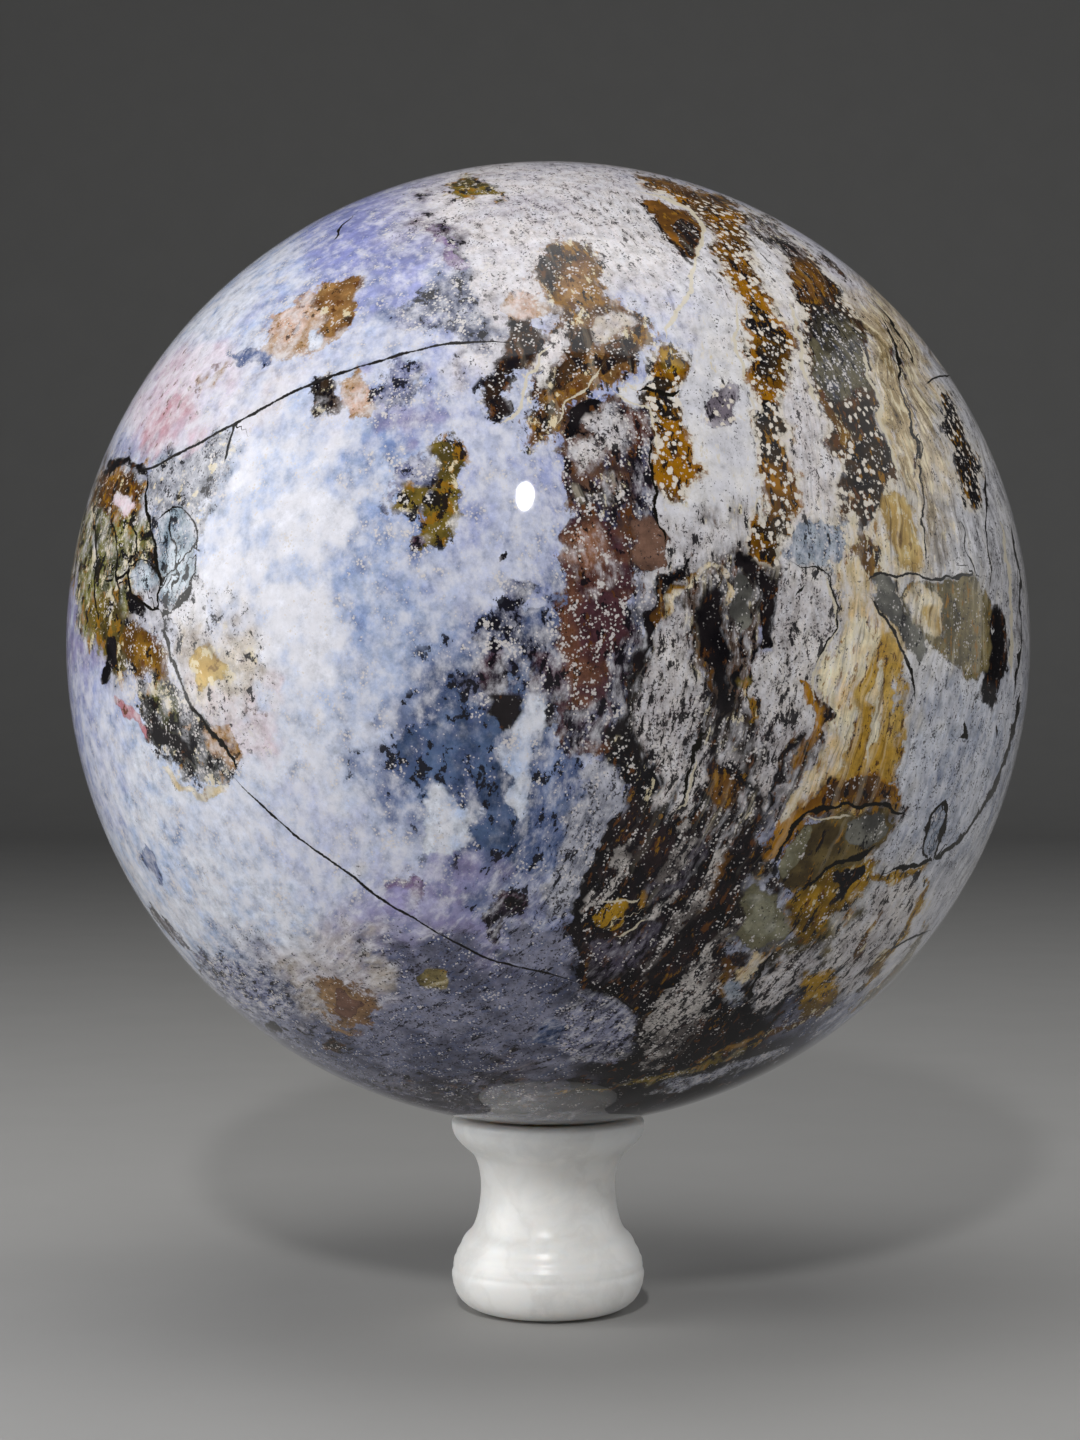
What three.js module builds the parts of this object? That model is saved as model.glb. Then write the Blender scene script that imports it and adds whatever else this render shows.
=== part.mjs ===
// A polished stone sphere that rests, unfixed, in the dished top of a small turned marble stand.
// Millimetres, +Z up. The origin is the middle of the stand's flat underside.
import * as THREE from 'three';

// The sphere
const SPHERE_DIAMETER = 250;
const SPHERE_ROUND_STEPS = 64;
const SPHERE_HEIGHT_STEPS = 32;

// The dish that the sphere sits in: a narrow ground band bears it, and the middle is hollowed clear of it
const SEAT_DIAMETER = 40;
const SEAT_BAND_WIDTH = 1.5;
const SEAT_GAP = 0.3;
const DISH_DEPTH = 4.5;

// The stand, its heights measured up from the underside
const STAND_HEIGHT = 50.8;
const BASE_DIAMETER = 28;
const FOOT_DIAMETER = 50.6;
const FOOT_WIDEST_HEIGHT = 9.8;
const FOOT_SCORE_HEIGHT = 13;
const FOOT_SCORE_DIAMETER = 49.4;
const FOOT_TOP_HEIGHT = 17.2;
const FOOT_TOP_DIAMETER = 45.8;
const SHOULDER_TOP_HEIGHT = 20.8;
const SHOULDER_TOP_DIAMETER = 41;
const NECK_HEIGHT = 32;
const NECK_DIAMETER = 35.2;

// The rim, its heights measured down from the stand's top
const RIM_DIAMETER = 50.6;
const RIM_DROP = 9.8;
const RIM_COLLAR_DIAMETER = 39;
const RIM_SCORE_DROP = 3.4;
const RIM_SCORE_DEPTH = 0.25;
const RIM_EDGE_ROUND = 1.1;

const STAND_ROUND_STEPS = 56;
const CURVE_STEPS = 4;

/** A turned solid: the outline runs from the axis round to the axis again, as (radius, height) points. */
function turned(outline, roundSteps) {
  const geometry = new THREE.LatheGeometry(outline, roundSteps);
  geometry.rotateX(Math.PI / 2);
  return geometry;
}

/** Height of the sphere's centre, from where its surface, grown by the gap, meets the stand's top. */
function sphereCentreHeight() {
  const reach = SPHERE_DIAMETER / 2 + SEAT_GAP;
  return STAND_HEIGHT + Math.sqrt(reach ** 2 - (SEAT_DIAMETER / 2) ** 2);
}

/** The foot: a round underside edge, two soft rolls with a scored line between them, and the shoulder. */
function addFoot(outline) {
  const foot = FOOT_DIAMETER / 2;
  const score = FOOT_SCORE_DIAMETER / 2;
  const footTop = FOOT_TOP_DIAMETER / 2;
  const shoulderTop = SHOULDER_TOP_DIAMETER / 2;
  const underside = foot - BASE_DIAMETER / 2;
  outline.lineTo(BASE_DIAMETER / 2, 0);
  outline.bezierCurveTo(
    BASE_DIAMETER / 2 + 0.46 * underside, 0,
    foot, 0.2 * FOOT_WIDEST_HEIGHT,
    foot, FOOT_WIDEST_HEIGHT
  );
  outline.quadraticCurveTo(foot, (FOOT_WIDEST_HEIGHT + FOOT_SCORE_HEIGHT) / 2, score, FOOT_SCORE_HEIGHT);
  outline.bezierCurveTo(
    foot - 0.1 * (foot - footTop), FOOT_SCORE_HEIGHT + 0.24 * (FOOT_TOP_HEIGHT - FOOT_SCORE_HEIGHT),
    foot - 0.5 * (foot - footTop), FOOT_TOP_HEIGHT - 0.38 * (FOOT_TOP_HEIGHT - FOOT_SCORE_HEIGHT),
    footTop, FOOT_TOP_HEIGHT
  );
  outline.quadraticCurveTo(
    footTop - 0.2 * (footTop - shoulderTop), FOOT_TOP_HEIGHT + 0.6 * (SHOULDER_TOP_HEIGHT - FOOT_TOP_HEIGHT),
    shoulderTop, SHOULDER_TOP_HEIGHT
  );
}

/** The neck: one long hollow curve from the shoulder, through its narrowest place, to the rim's collar. */
function addNeck(outline) {
  const shoulderTop = SHOULDER_TOP_DIAMETER / 2;
  const neck = NECK_DIAMETER / 2;
  const collar = RIM_COLLAR_DIAMETER / 2;
  const collarHeight = STAND_HEIGHT - RIM_DROP;
  outline.bezierCurveTo(
    neck + 0.48 * (shoulderTop - neck), SHOULDER_TOP_HEIGHT + 0.11 * (NECK_HEIGHT - SHOULDER_TOP_HEIGHT),
    neck + 0.07 * (shoulderTop - neck), SHOULDER_TOP_HEIGHT + 0.55 * (NECK_HEIGHT - SHOULDER_TOP_HEIGHT),
    neck, NECK_HEIGHT
  );
  outline.bezierCurveTo(
    neck, NECK_HEIGHT + 0.5 * (collarHeight - NECK_HEIGHT),
    neck + 0.45 * (collar - neck), collarHeight - 0.22 * (collarHeight - NECK_HEIGHT),
    collar, collarHeight
  );
}

/** The rim: its swelling underside, a faint scored line round it, and the rounded top edge. */
function addRim(outline) {
  const collar = RIM_COLLAR_DIAMETER / 2;
  const rim = RIM_DIAMETER / 2;
  const collarHeight = STAND_HEIGHT - RIM_DROP;
  const scoreHeight = STAND_HEIGHT - RIM_SCORE_DROP;
  const belly = scoreHeight - collarHeight;
  outline.bezierCurveTo(
    collar + 0.22 * (rim - collar), collarHeight + 0.2 * belly,
    rim - 0.1 * (rim - collar), collarHeight + 0.6 * belly,
    rim - RIM_SCORE_DEPTH, scoreHeight
  );
  outline.quadraticCurveTo(
    rim, scoreHeight + RIM_EDGE_ROUND / 2,
    rim, STAND_HEIGHT - RIM_EDGE_ROUND
  );
  outline.quadraticCurveTo(rim, STAND_HEIGHT, rim - RIM_EDGE_ROUND, STAND_HEIGHT);
}

/** The dish: the flat top, the band that follows the sphere at the seat gap, and the hollow under it. */
function addDish(outline) {
  const reach = SPHERE_DIAMETER / 2 + SEAT_GAP;
  const bandInside = SEAT_DIAMETER / 2 - SEAT_BAND_WIDTH;
  const bandHeight = sphereCentreHeight() - Math.sqrt(reach ** 2 - bandInside ** 2);
  const floorHeight = STAND_HEIGHT - DISH_DEPTH;
  outline.lineTo(SEAT_DIAMETER / 2, STAND_HEIGHT);
  outline.lineTo(bandInside, bandHeight);
  outline.quadraticCurveTo(0.55 * bandInside, floorHeight, 0, floorHeight);
}

function standGeometry() {
  const outline = new THREE.Path();
  outline.moveTo(0, 0);
  addFoot(outline);
  addNeck(outline);
  addRim(outline);
  addDish(outline);
  return turned(outline.getPoints(CURVE_STEPS), STAND_ROUND_STEPS);
}

function sphereGeometry() {
  const geometry = new THREE.SphereGeometry(SPHERE_DIAMETER / 2, SPHERE_ROUND_STEPS, SPHERE_HEIGHT_STEPS);
  geometry.rotateX(Math.PI / 2);
  return geometry;
}

const polishedStone = new THREE.MeshStandardMaterial({ color: 0xa9a4ad, roughness: 0.08, metalness: 0 });
const whiteMarble = new THREE.MeshStandardMaterial({ color: 0xe6e5e2, roughness: 0.2, metalness: 0 });

const sphere = new THREE.Mesh(sphereGeometry(), polishedStone);
sphere.name = 'sphere';
sphere.position.set(0, 0, sphereCentreHeight());

const stand = new THREE.Mesh(standGeometry(), whiteMarble);
stand.name = 'stand';

const ornament = new THREE.Group();
ornament.add(stand, sphere);

export default ornament;
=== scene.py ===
"""A large polished sphere of figured jasper, resting in the dish of a small turned marble stand."""
import math
from collections import namedtuple

import bpy
import numpy as np
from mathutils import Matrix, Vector, noise


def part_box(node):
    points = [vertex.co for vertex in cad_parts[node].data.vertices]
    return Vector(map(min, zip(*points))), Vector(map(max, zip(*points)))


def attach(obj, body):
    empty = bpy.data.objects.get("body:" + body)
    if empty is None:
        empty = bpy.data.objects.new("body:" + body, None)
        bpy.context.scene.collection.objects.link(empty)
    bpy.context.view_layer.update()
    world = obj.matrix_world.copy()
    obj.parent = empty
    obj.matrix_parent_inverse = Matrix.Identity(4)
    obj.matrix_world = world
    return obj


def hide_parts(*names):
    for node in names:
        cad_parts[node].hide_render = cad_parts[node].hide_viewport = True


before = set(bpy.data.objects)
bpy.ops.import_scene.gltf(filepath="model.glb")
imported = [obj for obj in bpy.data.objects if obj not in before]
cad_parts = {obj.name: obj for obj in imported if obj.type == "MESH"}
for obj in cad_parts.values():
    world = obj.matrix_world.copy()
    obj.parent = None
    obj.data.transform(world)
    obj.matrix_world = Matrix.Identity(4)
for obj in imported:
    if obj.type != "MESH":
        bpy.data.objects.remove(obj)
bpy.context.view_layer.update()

# Sizes in metres, and how the pieces are divided
MILLIMETRE = 0.001
SPHERE_ROUNDINGS = 7
STAND_ROUND_STEPS = 144
STAND_CURVE_STEPS = 8

# The stand's turned outline, in millimetres, its heights measured up from the underside
STAND_HEIGHT = 50.8
BASE_RADIUS = 14
FOOT_RADIUS = 25.3
FOOT_WIDEST_HEIGHT = 9.8
FOOT_SCORE_HEIGHT = 13
FOOT_SCORE_RADIUS = 24.7
FOOT_TOP_HEIGHT = 17.2
FOOT_TOP_RADIUS = 22.9
SHOULDER_TOP_HEIGHT = 20.8
SHOULDER_TOP_RADIUS = 20.5
NECK_HEIGHT = 32
NECK_RADIUS = 17.6
RIM_RADIUS = 25.3
RIM_DROP = 9.8
RIM_COLLAR_RADIUS = 19.5
RIM_SCORE_DROP = 3.4
RIM_SCORE_DEPTH = 0.25
RIM_EDGE_ROUND = 1.1
RIM_CORNER_INSET = 0.2
GROOVES = (11.3, 14.7)
GROOVE_DEPTH = 0.3
GROOVE_WIDTH = 0.8
SEAT_RADIUS = 20
SEAT_SURROUND = 1
SEAT_BAND_WIDTH = 1.5
SEAT_GAP = 0.3
DISH_DEPTH = 4.5

# Where the photograph was taken from: a level camera, six sphere radii in front of the axis
PHOTO_WIDTH = 1080
PHOTO_HEIGHT = 1440
AXIS_COLUMN = 548
FOCAL_LENGTH_PIXELS = 2852
EYE_DISTANCE = 0.750
EYE_HEIGHT = 0.1549
SENSOR_HEIGHT = 36.0
EYE_SIDE = (PHOTO_WIDTH / 2 - AXIS_COLUMN) * EYE_DISTANCE / FOCAL_LENGTH_PIXELS
EYE = Vector((EYE_SIDE, -EYE_DISTANCE, EYE_HEIGHT))
MILLIMETRES_PER_PIXEL = EYE_DISTANCE / FOCAL_LENGTH_PIXELS / MILLIMETRE

# The stone's minerals. The first six amounts are flecks of another mineral, by the share of the surface
# that they take. Specks and frost are fine dark and light grains, streaks follow the strata, dots are the
# round white spots of the orb bands, and rim is a pale edge. Each runs from 0 to 1
MINERALS = ("black", "rust", "slate", "white", "gold", "cream", "specks", "frost", "streaks", "dots", "rim")
Stone = namedtuple("Stone", ("colour", "other", "ragged", *MINERALS))


def stone(colour, other, ragged=1.0, **amounts):
    """A mineral with its two colours, how broken its outlines are, and what it holds."""
    return Stone(colour, other, ragged, *(amounts.get(mineral, 0) for mineral in MINERALS))


LAVENDER = stone(0x9DA5CE, 0xBFC5DE, white=0.38, slate=0.12, frost=0.2)
PERIWINKLE = stone(0x8A8FC8, 0x787DB4, white=0.14, slate=0.15, frost=0.15)
MILK = stone(0xE4E5EF, 0xB6C2DE, white=0.5, frost=0.2)
ICE = stone(0xB0C0DE, 0xD9DEEA, white=0.45, slate=0.22, frost=0.3, specks=0.1)
SKY = stone(0x8098C8, 0xAEBBD9, white=0.3, slate=0.2, frost=0.2)
SLATE = stone(0x52628A, 0x7A8BB2, white=0.14, slate=0.45, black=0.14, frost=0.25)
MAUVE = stone(0x8E84AA, 0x9C97C0, white=0.1, slate=0.2, frost=0.1)
PINK_WHITE = stone(0xDABEC6, 0xE4D4DC, white=0.36, rust=0.08, frost=0.3)
VIOLET_GREY = stone(0x5E5F70, 0x86879A, black=0.07, slate=0.2, specks=0.6, frost=0.22)
FOOT_GREY = stone(0x8486A0, 0x54556A, black=0.14, specks=0.75, frost=0.6, white=0.1)
SOFT_TAN = stone(0x9C7E5C, 0x7C6046, 1.3, specks=0.35, frost=0.3)
PALE_TAN = stone(0xC6B9A8, 0xB3A8A6, white=0.25, specks=0.35)
DARK_VIOLET = stone(0x2A242C, 0x484252, black=0.3, white=0.04, frost=0.3, specks=0.2, streaks=0.2, rust=0.08)
GREY_PEPPER = stone(0x989AA8, 0x757888, white=0.25, black=0.1, specks=0.65, frost=0.45)
BROW_GOLD = stone(0x8A6226, 0x4E3417, 1.2, black=0.22, rust=0.24, cream=0.1, frost=0.4, gold=0.3)
BROWN_CHAOS = stone(
    0x7C5A34, 0x3C2A1E, 1.2, black=0.25, cream=0.16, rust=0.24, gold=0.22, frost=0.55, streaks=0.4)
GINGER = stone(0x8A5A1E, 0x5A3A14, 0.5, gold=0.15, black=0.08)
COLUMN_TOP = stone(0x8A6048, 0x54342E, 0.9, rust=0.2, black=0.12, frost=0.75, white=0.08)
HOOD_BROWN = stone(0x5E4436, 0x30262A, black=0.26, rust=0.28, slate=0.1, frost=0.65, cream=0.06)
ORB_GREY = stone(0xAAA4AC, 0x6E6670, dots=1, black=0.22, specks=0.6)
ORB_OLIVE = stone(0x625C48, 0x3A362C, black=0.2, frost=0.65, specks=0.2, dots=0.3, slate=0.06)
FAN_CREAM = stone(0xE8DCBC, 0xDABE8E, specks=0.2, streaks=0.8, gold=0.16, white=0.2)
BURNT_GOLD = stone(0xA87414, 0x744A10, 0.8, black=0.14, rust=0.15, gold=0.2, streaks=0.4)
BRIGHT_GOLD = stone(0xAA821E, 0x6A5012, black=0.24, rust=0.12, cream=0.1, frost=0.3)
NEST_OLIVE = stone(0x7E7A3E, 0x45462A, black=0.28, gold=0.18, cream=0.24, frost=0.4, streaks=0.3, white=0.1)
NEST_DARK = stone(0x4C4C46, 0x2A2A2A, black=0.3, cream=0.22, white=0.14, frost=0.7, specks=0.4, gold=0.1)
CRYSTAL = stone(0xB4C2CC, 0x7E909E, 0.9, black=0.2, slate=0.14, white=0.3, specks=0.6, frost=0.3)
GREY_WEDGE = stone(0x9EA0AA, 0x82848E, black=0.12, specks=0.5, cream=0.12, white=0.22, frost=0.3)
NIGHT_SLATE = stone(0x383C54, 0x565B7C, 1.3, black=0.28, white=0.26, frost=0.8, slate=0.25)
BLUE_SMOKE = stone(0x545A74, 0x767BA0, 1.3, black=0.22, white=0.26, frost=0.8, specks=0.3)
MAROON_SMOKE = stone(0x5C4258, 0x7E6A8E, 1.2, specks=0.3, frost=0.5, white=0.15)
DARK_CHAOS = stone(0x110F12, 0x2A2022, black=0.34, rust=0.14, frost=0.3, streaks=0.1, gold=0.06)
DEEP_SLATE = stone(0x304262, 0x52678C, white=0.03, slate=0.4, black=0.18, frost=0.15)
LENS_GREY = stone(0x86846F, 0x6C6852, 0.4, specks=0.2, frost=0.3)
SNOW = stone(0xC0BAB6, 0x625C5A, black=0.3, specks=0.9, frost=0.75, rust=0.07)
SILVER_LENS = stone(0xA4A294, 0x86846F, 0.6, specks=0.3, frost=0.3)
SALT_AND_PEPPER = stone(0xD4CCCC, 0xB6AFB6, white=0.46, black=0.05, specks=0.5, frost=0.6)
PEPPERED = stone(0xCAC2BE, 0x9C9494, white=0.35, black=0.3, rust=0.08, specks=0.85, frost=0.3)
PALE_PEPPER = stone(0xD2CBC6, 0xB0A9A8, white=0.38, black=0.17, rust=0.04, specks=0.6, frost=0.3)
LILAC = stone(0xD0C8C8, 0xE4DEDA, white=0.42, black=0.07, specks=0.45, frost=0.3, streaks=0.3)
WHITE_AGATE = stone(0xE4E1E0, 0xCCCBD2, white=0.4, specks=0.15, cream=0.08)
LIMB_GREY = stone(0xCFCDCD, 0xA9A8AC, white=0.38, black=0.03, specks=0.5, streaks=0.5)
BLUE_WHITE = stone(0xD2D6E2, 0xA9B0C2, white=0.38, specks=0.55, slate=0.1, streaks=0.25)
CREAM = stone(0xE0D4B8, 0xCEB88C, white=0.28, gold=0.1, specks=0.2, streaks=0.6)
BEIGE = stone(0xC4B08E, 0x98845F, cream=0.3, specks=0.3, streaks=1.0, black=0.04)
PEACH = stone(0xC2A08C, 0xA68460, 0.8, gold=0.14, white=0.3, rust=0.1, frost=0.5, black=0.06)
ROSE = stone(0xB0727A, 0xC69AA4, white=0.25, rust=0.2)
TAN_GOLD = stone(0x9A7446, 0x7A5630, 0.7, rust=0.14, cream=0.16, frost=0.5, black=0.06)
GOLD = stone(0x8C661F, 0x5C3F18, black=0.2, rust=0.2, cream=0.12, frost=0.35, streaks=0.2)
OLIVE_GOLD = stone(0x75642A, 0x4A4020, black=0.22, gold=0.3, cream=0.1, frost=0.3, streaks=0.5)
OCHRE = stone(0xB28A32, 0xCAA656, 1.2, rust=0.18, specks=0.4, streaks=0.6)
YELLOW_TAN = stone(0xC4A96C, 0xAD8E50, cream=0.25, streaks=0.9, rust=0.05)
RUST = stone(0x6C481E, 0x452D18, black=0.24, gold=0.2, frost=0.3, streaks=0.3)
RED_BROWN = stone(0x6A4636, 0x4A2E34, 0.8, rust=0.14, black=0.1, frost=0.85, specks=0.2)
CHOCOLATE = stone(0x43301F, 0x241D1C, black=0.34, rust=0.24, frost=0.45, streaks=0.2)
MAROON = stone(0x4A303C, 0x2C2430, black=0.3, white=0.14, slate=0.12, frost=0.4)
NAVY = stone(0x3A4766, 0x5B6990, slate=0.3, white=0.15, black=0.15, frost=0.3)
IRON_BLACK = stone(0x110F12, 0x1E1A1C, frost=0.1, rust=0.06)
SNOWY_BLACK = stone(0x171519, 0x2E2824, cream=0.07, frost=0.75, rust=0.12)
ORB_GOLD = stone(0x98660F, 0x5A3C10, black=0.27, rust=0.12, frost=0.2, dots=1, rim=0.8)
ORB_BLACK = stone(0x1A181A, 0x33281C, gold=0.2, frost=0.2, dots=1, rim=0.6)
ORB_BROWN = stone(0x4C3826, 0x2A2420, rust=0.25, gold=0.12, dots=0.95, rim=0.7)
UMBER = stone(0x54443A, 0x2E2826, black=0.28, white=0.12, cream=0.08, frost=0.6, streaks=0.7, rust=0.12)
OLIVE_GREY = stone(0x7A6E4A, 0x544C32, 0.35, gold=0.1, specks=0.4, frost=0.25, streaks=0.6)
SMOKE = stone(0x77766E, 0x4C4B48, 0.5, black=0.12, frost=0.3)
SMOKY_QUARTZ = stone(0x6E5E38, 0x443822, 0.4, gold=0.14, specks=0.3, streaks=0.2, black=0.08)
BLUE_STIPPLE = stone(0x98A2AE, 0x7F8A9C, white=0.2, black=0.08, slate=0.15, specks=0.5, frost=0.4)
# A smooth brown, for a brown core low at left and for the painted reflection of a brown square in the hood
TAN_BROWN = stone(0x76594B, 0x5F473C, 0.3, specks=0.25, frost=0.1)

# The broad grounds of the stone, painted softly one over another, and a band of painted shade along the
# underside. Each has its middle and its half width and half height in photograph pixels, its turn in degrees
# and its strength
GROUNDS = {
    "lavender shoulder": (LAVENDER, (380, 300), (230, 170), -20, 1.0),
    "periwinkle crown": (PERIWINKLE, (400, 235), (70, 55), -30, 0.8),
    "periwinkle upper limb": (PERIWINKLE, (330, 235), (70, 25), -27, 0.6),
    "icy upper limb": (ICE, (235, 300), (80, 30), -42, 0.8),
    "pink cheek": (PINK_WHITE, (190, 400), (60, 45), -30, 0.8),
    "rose patch": (ROSE, (166, 436), (16, 30), 15, 0.8),
    "orange speck at left": (PEACH, (200, 391), (9, 9), 0, 0.9),
    "orange by the crack": (PEACH, (268, 393), (18, 10), -25, 0.7),
    "pink below the crack": (PINK_WHITE, (272, 428), (42, 22), -25, 0.9),
    "peach below the crack": (PEACH, (258, 416), (14, 8), -30, 0.6),
    "milky flank": (MILK, (300, 580), (130, 190), 0, 1.0),
    "blue of the flank": (SKY, (395, 560), (55, 120), 0, 0.9),
    "blue streak under the crack": (SKY, (388, 380), (14, 45), 10, 0.9),
    "lavender heart": (LAVENDER, (490, 450), (95, 130), 0, 1.0),
    "blue about the gold islet": (SKY, (376, 462), (46, 62), 0, 0.85),
    "icy lower left": (ICE, (230, 850), (160, 130), 30, 1.0),
    "milk of the lower left": (MILK, (290, 820), (90, 70), 30, 0.7),
    "slate centre": (SLATE, (455, 745), (80, 120), 15, 0.85),
    "slate hollow": (DEEP_SLATE, (506, 822), (58, 108), 12, 1.0),
    "dark slate by the column": (DEEP_SLATE, (530, 690), (34, 70), 5, 0.9),
    "slate bays of the heart": (DEEP_SLATE, (470, 690), (34, 50), 0, 0.6),
    "mauve below": (MAUVE, (425, 925), (85, 50), 20, 0.8),
    "lavender by the second crack": (LAVENDER, (340, 850), (60, 50), 30, 0.5),
    "speckled brow": (SALT_AND_PEPPER, (560, 225), (145, 75), 5, 1.0),
    "speckled bridge": (SALT_AND_PEPPER, (480, 310), (40, 60), 0, 0.9),
    "maroon smoke of the crown": (MAROON, (444, 240), (12, 40), -32, 0.8),
    "navy smoke of the crown": (DEEP_SLATE, (448, 298), (38, 24), -20, 0.7),
    "second navy smoke": (DEEP_SLATE, (462, 320), (26, 18), 0, 0.6),
    "blue smoke below the crack": (MAUVE, (392, 400), (24, 34), 20, 0.7),
    "yellow cloud by the nest": (YELLOW_TAN, (216, 655), (20, 50), -12, 0.75),
    "pink cloud by the nest": (PINK_WHITE, (240, 720), (28, 36), -30, 0.8),
    "lilac crown right": (LILAC, (620, 250), (60, 60), 0, 0.6),
    "violet belly": (VIOLET_GREY, (470, 1035), (180, 90), 0, 1.0),
    # Painted shade: a dark band that darkens the sphere's underside, where the light falls off
    "painted shade of the belly": (DARK_VIOLET, (500, 1110), (240, 32), 0, 0.8),
    "grey belly left": (VIOLET_GREY, (310, 1020), (110, 55), 30, 0.8),
    "grey of the middle": (PALE_PEPPER, (705, 560), (60, 90), 10, 0.9),
    "black gulf": (SNOWY_BLACK, (630, 730), (30, 120), 5, 1.0),
    "black under the bands": (SNOWY_BLACK, (700, 780), (50, 110), 25, 1.0),
    "lilac right": (LILAC, (800, 420), (110, 190), -15, 1.0),
    "white agate right": (WHITE_AGATE, (722, 420), (42, 110), -5, 0.9),
    "umber heart": (UMBER, (728, 640), (36, 110), 5, 1.0),
    "limb at right": (LIMB_GREY, (965, 600), (75, 300), 0, 1.0),
    "lilac lower right": (LIMB_GREY, (905, 790), (80, 110), 20, 1.0),
    "beige right": (BEIGE, (905, 400), (34, 130), -14, 0.9),
    "cream right": (CREAM, (860, 600), (54, 100), 0, 0.9),
    "pale streak": (PALE_PEPPER, (800, 720), (36, 90), 20, 0.9),
    "dark lower middle": (IRON_BLACK, (655, 900), (110, 62), -42, 1.0),
    "snow of the lower middle": (SNOWY_BLACK, (712, 890), (100, 34), -58, 1.0),
    "dark lower right": (IRON_BLACK, (720, 1025), (150, 62), -27, 1.0),
    "violet of the lower right": (VIOLET_GREY, (810, 1026), (50, 22), -35, 0.7),
    "black under the knee": (IRON_BLACK, (690, 1070), (120, 24), -14, 0.9),
    "gold lower right": (OLIVE_GOLD, (815, 905), (62, 42), -35, 1.0),
    "brown over the lens": (CHOCOLATE, (850, 795), (70, 20), 5, 0.9),
    "ochre of the fan": (OCHRE, (862, 740), (34, 70), 12, 0.9),
    "blue white of the limb": (BLUE_WHITE, (962, 770), (46, 105), 22, 0.95),
    "grey blades": (LIMB_GREY, (880, 930), (70, 40), -50, 1.0),
    "tan of the lower left": (PALE_TAN, (330, 965), (50, 45), 20, 0.7),
    "olive nest": (OLIVE_GOLD, (115, 560), (45, 95), -3, 0.95),
    "grey of the nest": (PALE_PEPPER, (205, 650), (45, 90), -15, 0.6),
    "grey wedge": (BLUE_STIPPLE, (190, 470), (38, 32), -30, 0.8),
    "lilac left limb": (MAUVE, (72, 650), (9, 60), 0, 0.9),
    "blue left limb": (LAVENDER, (88, 760), (22, 80), -10, 0.9),
}

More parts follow.
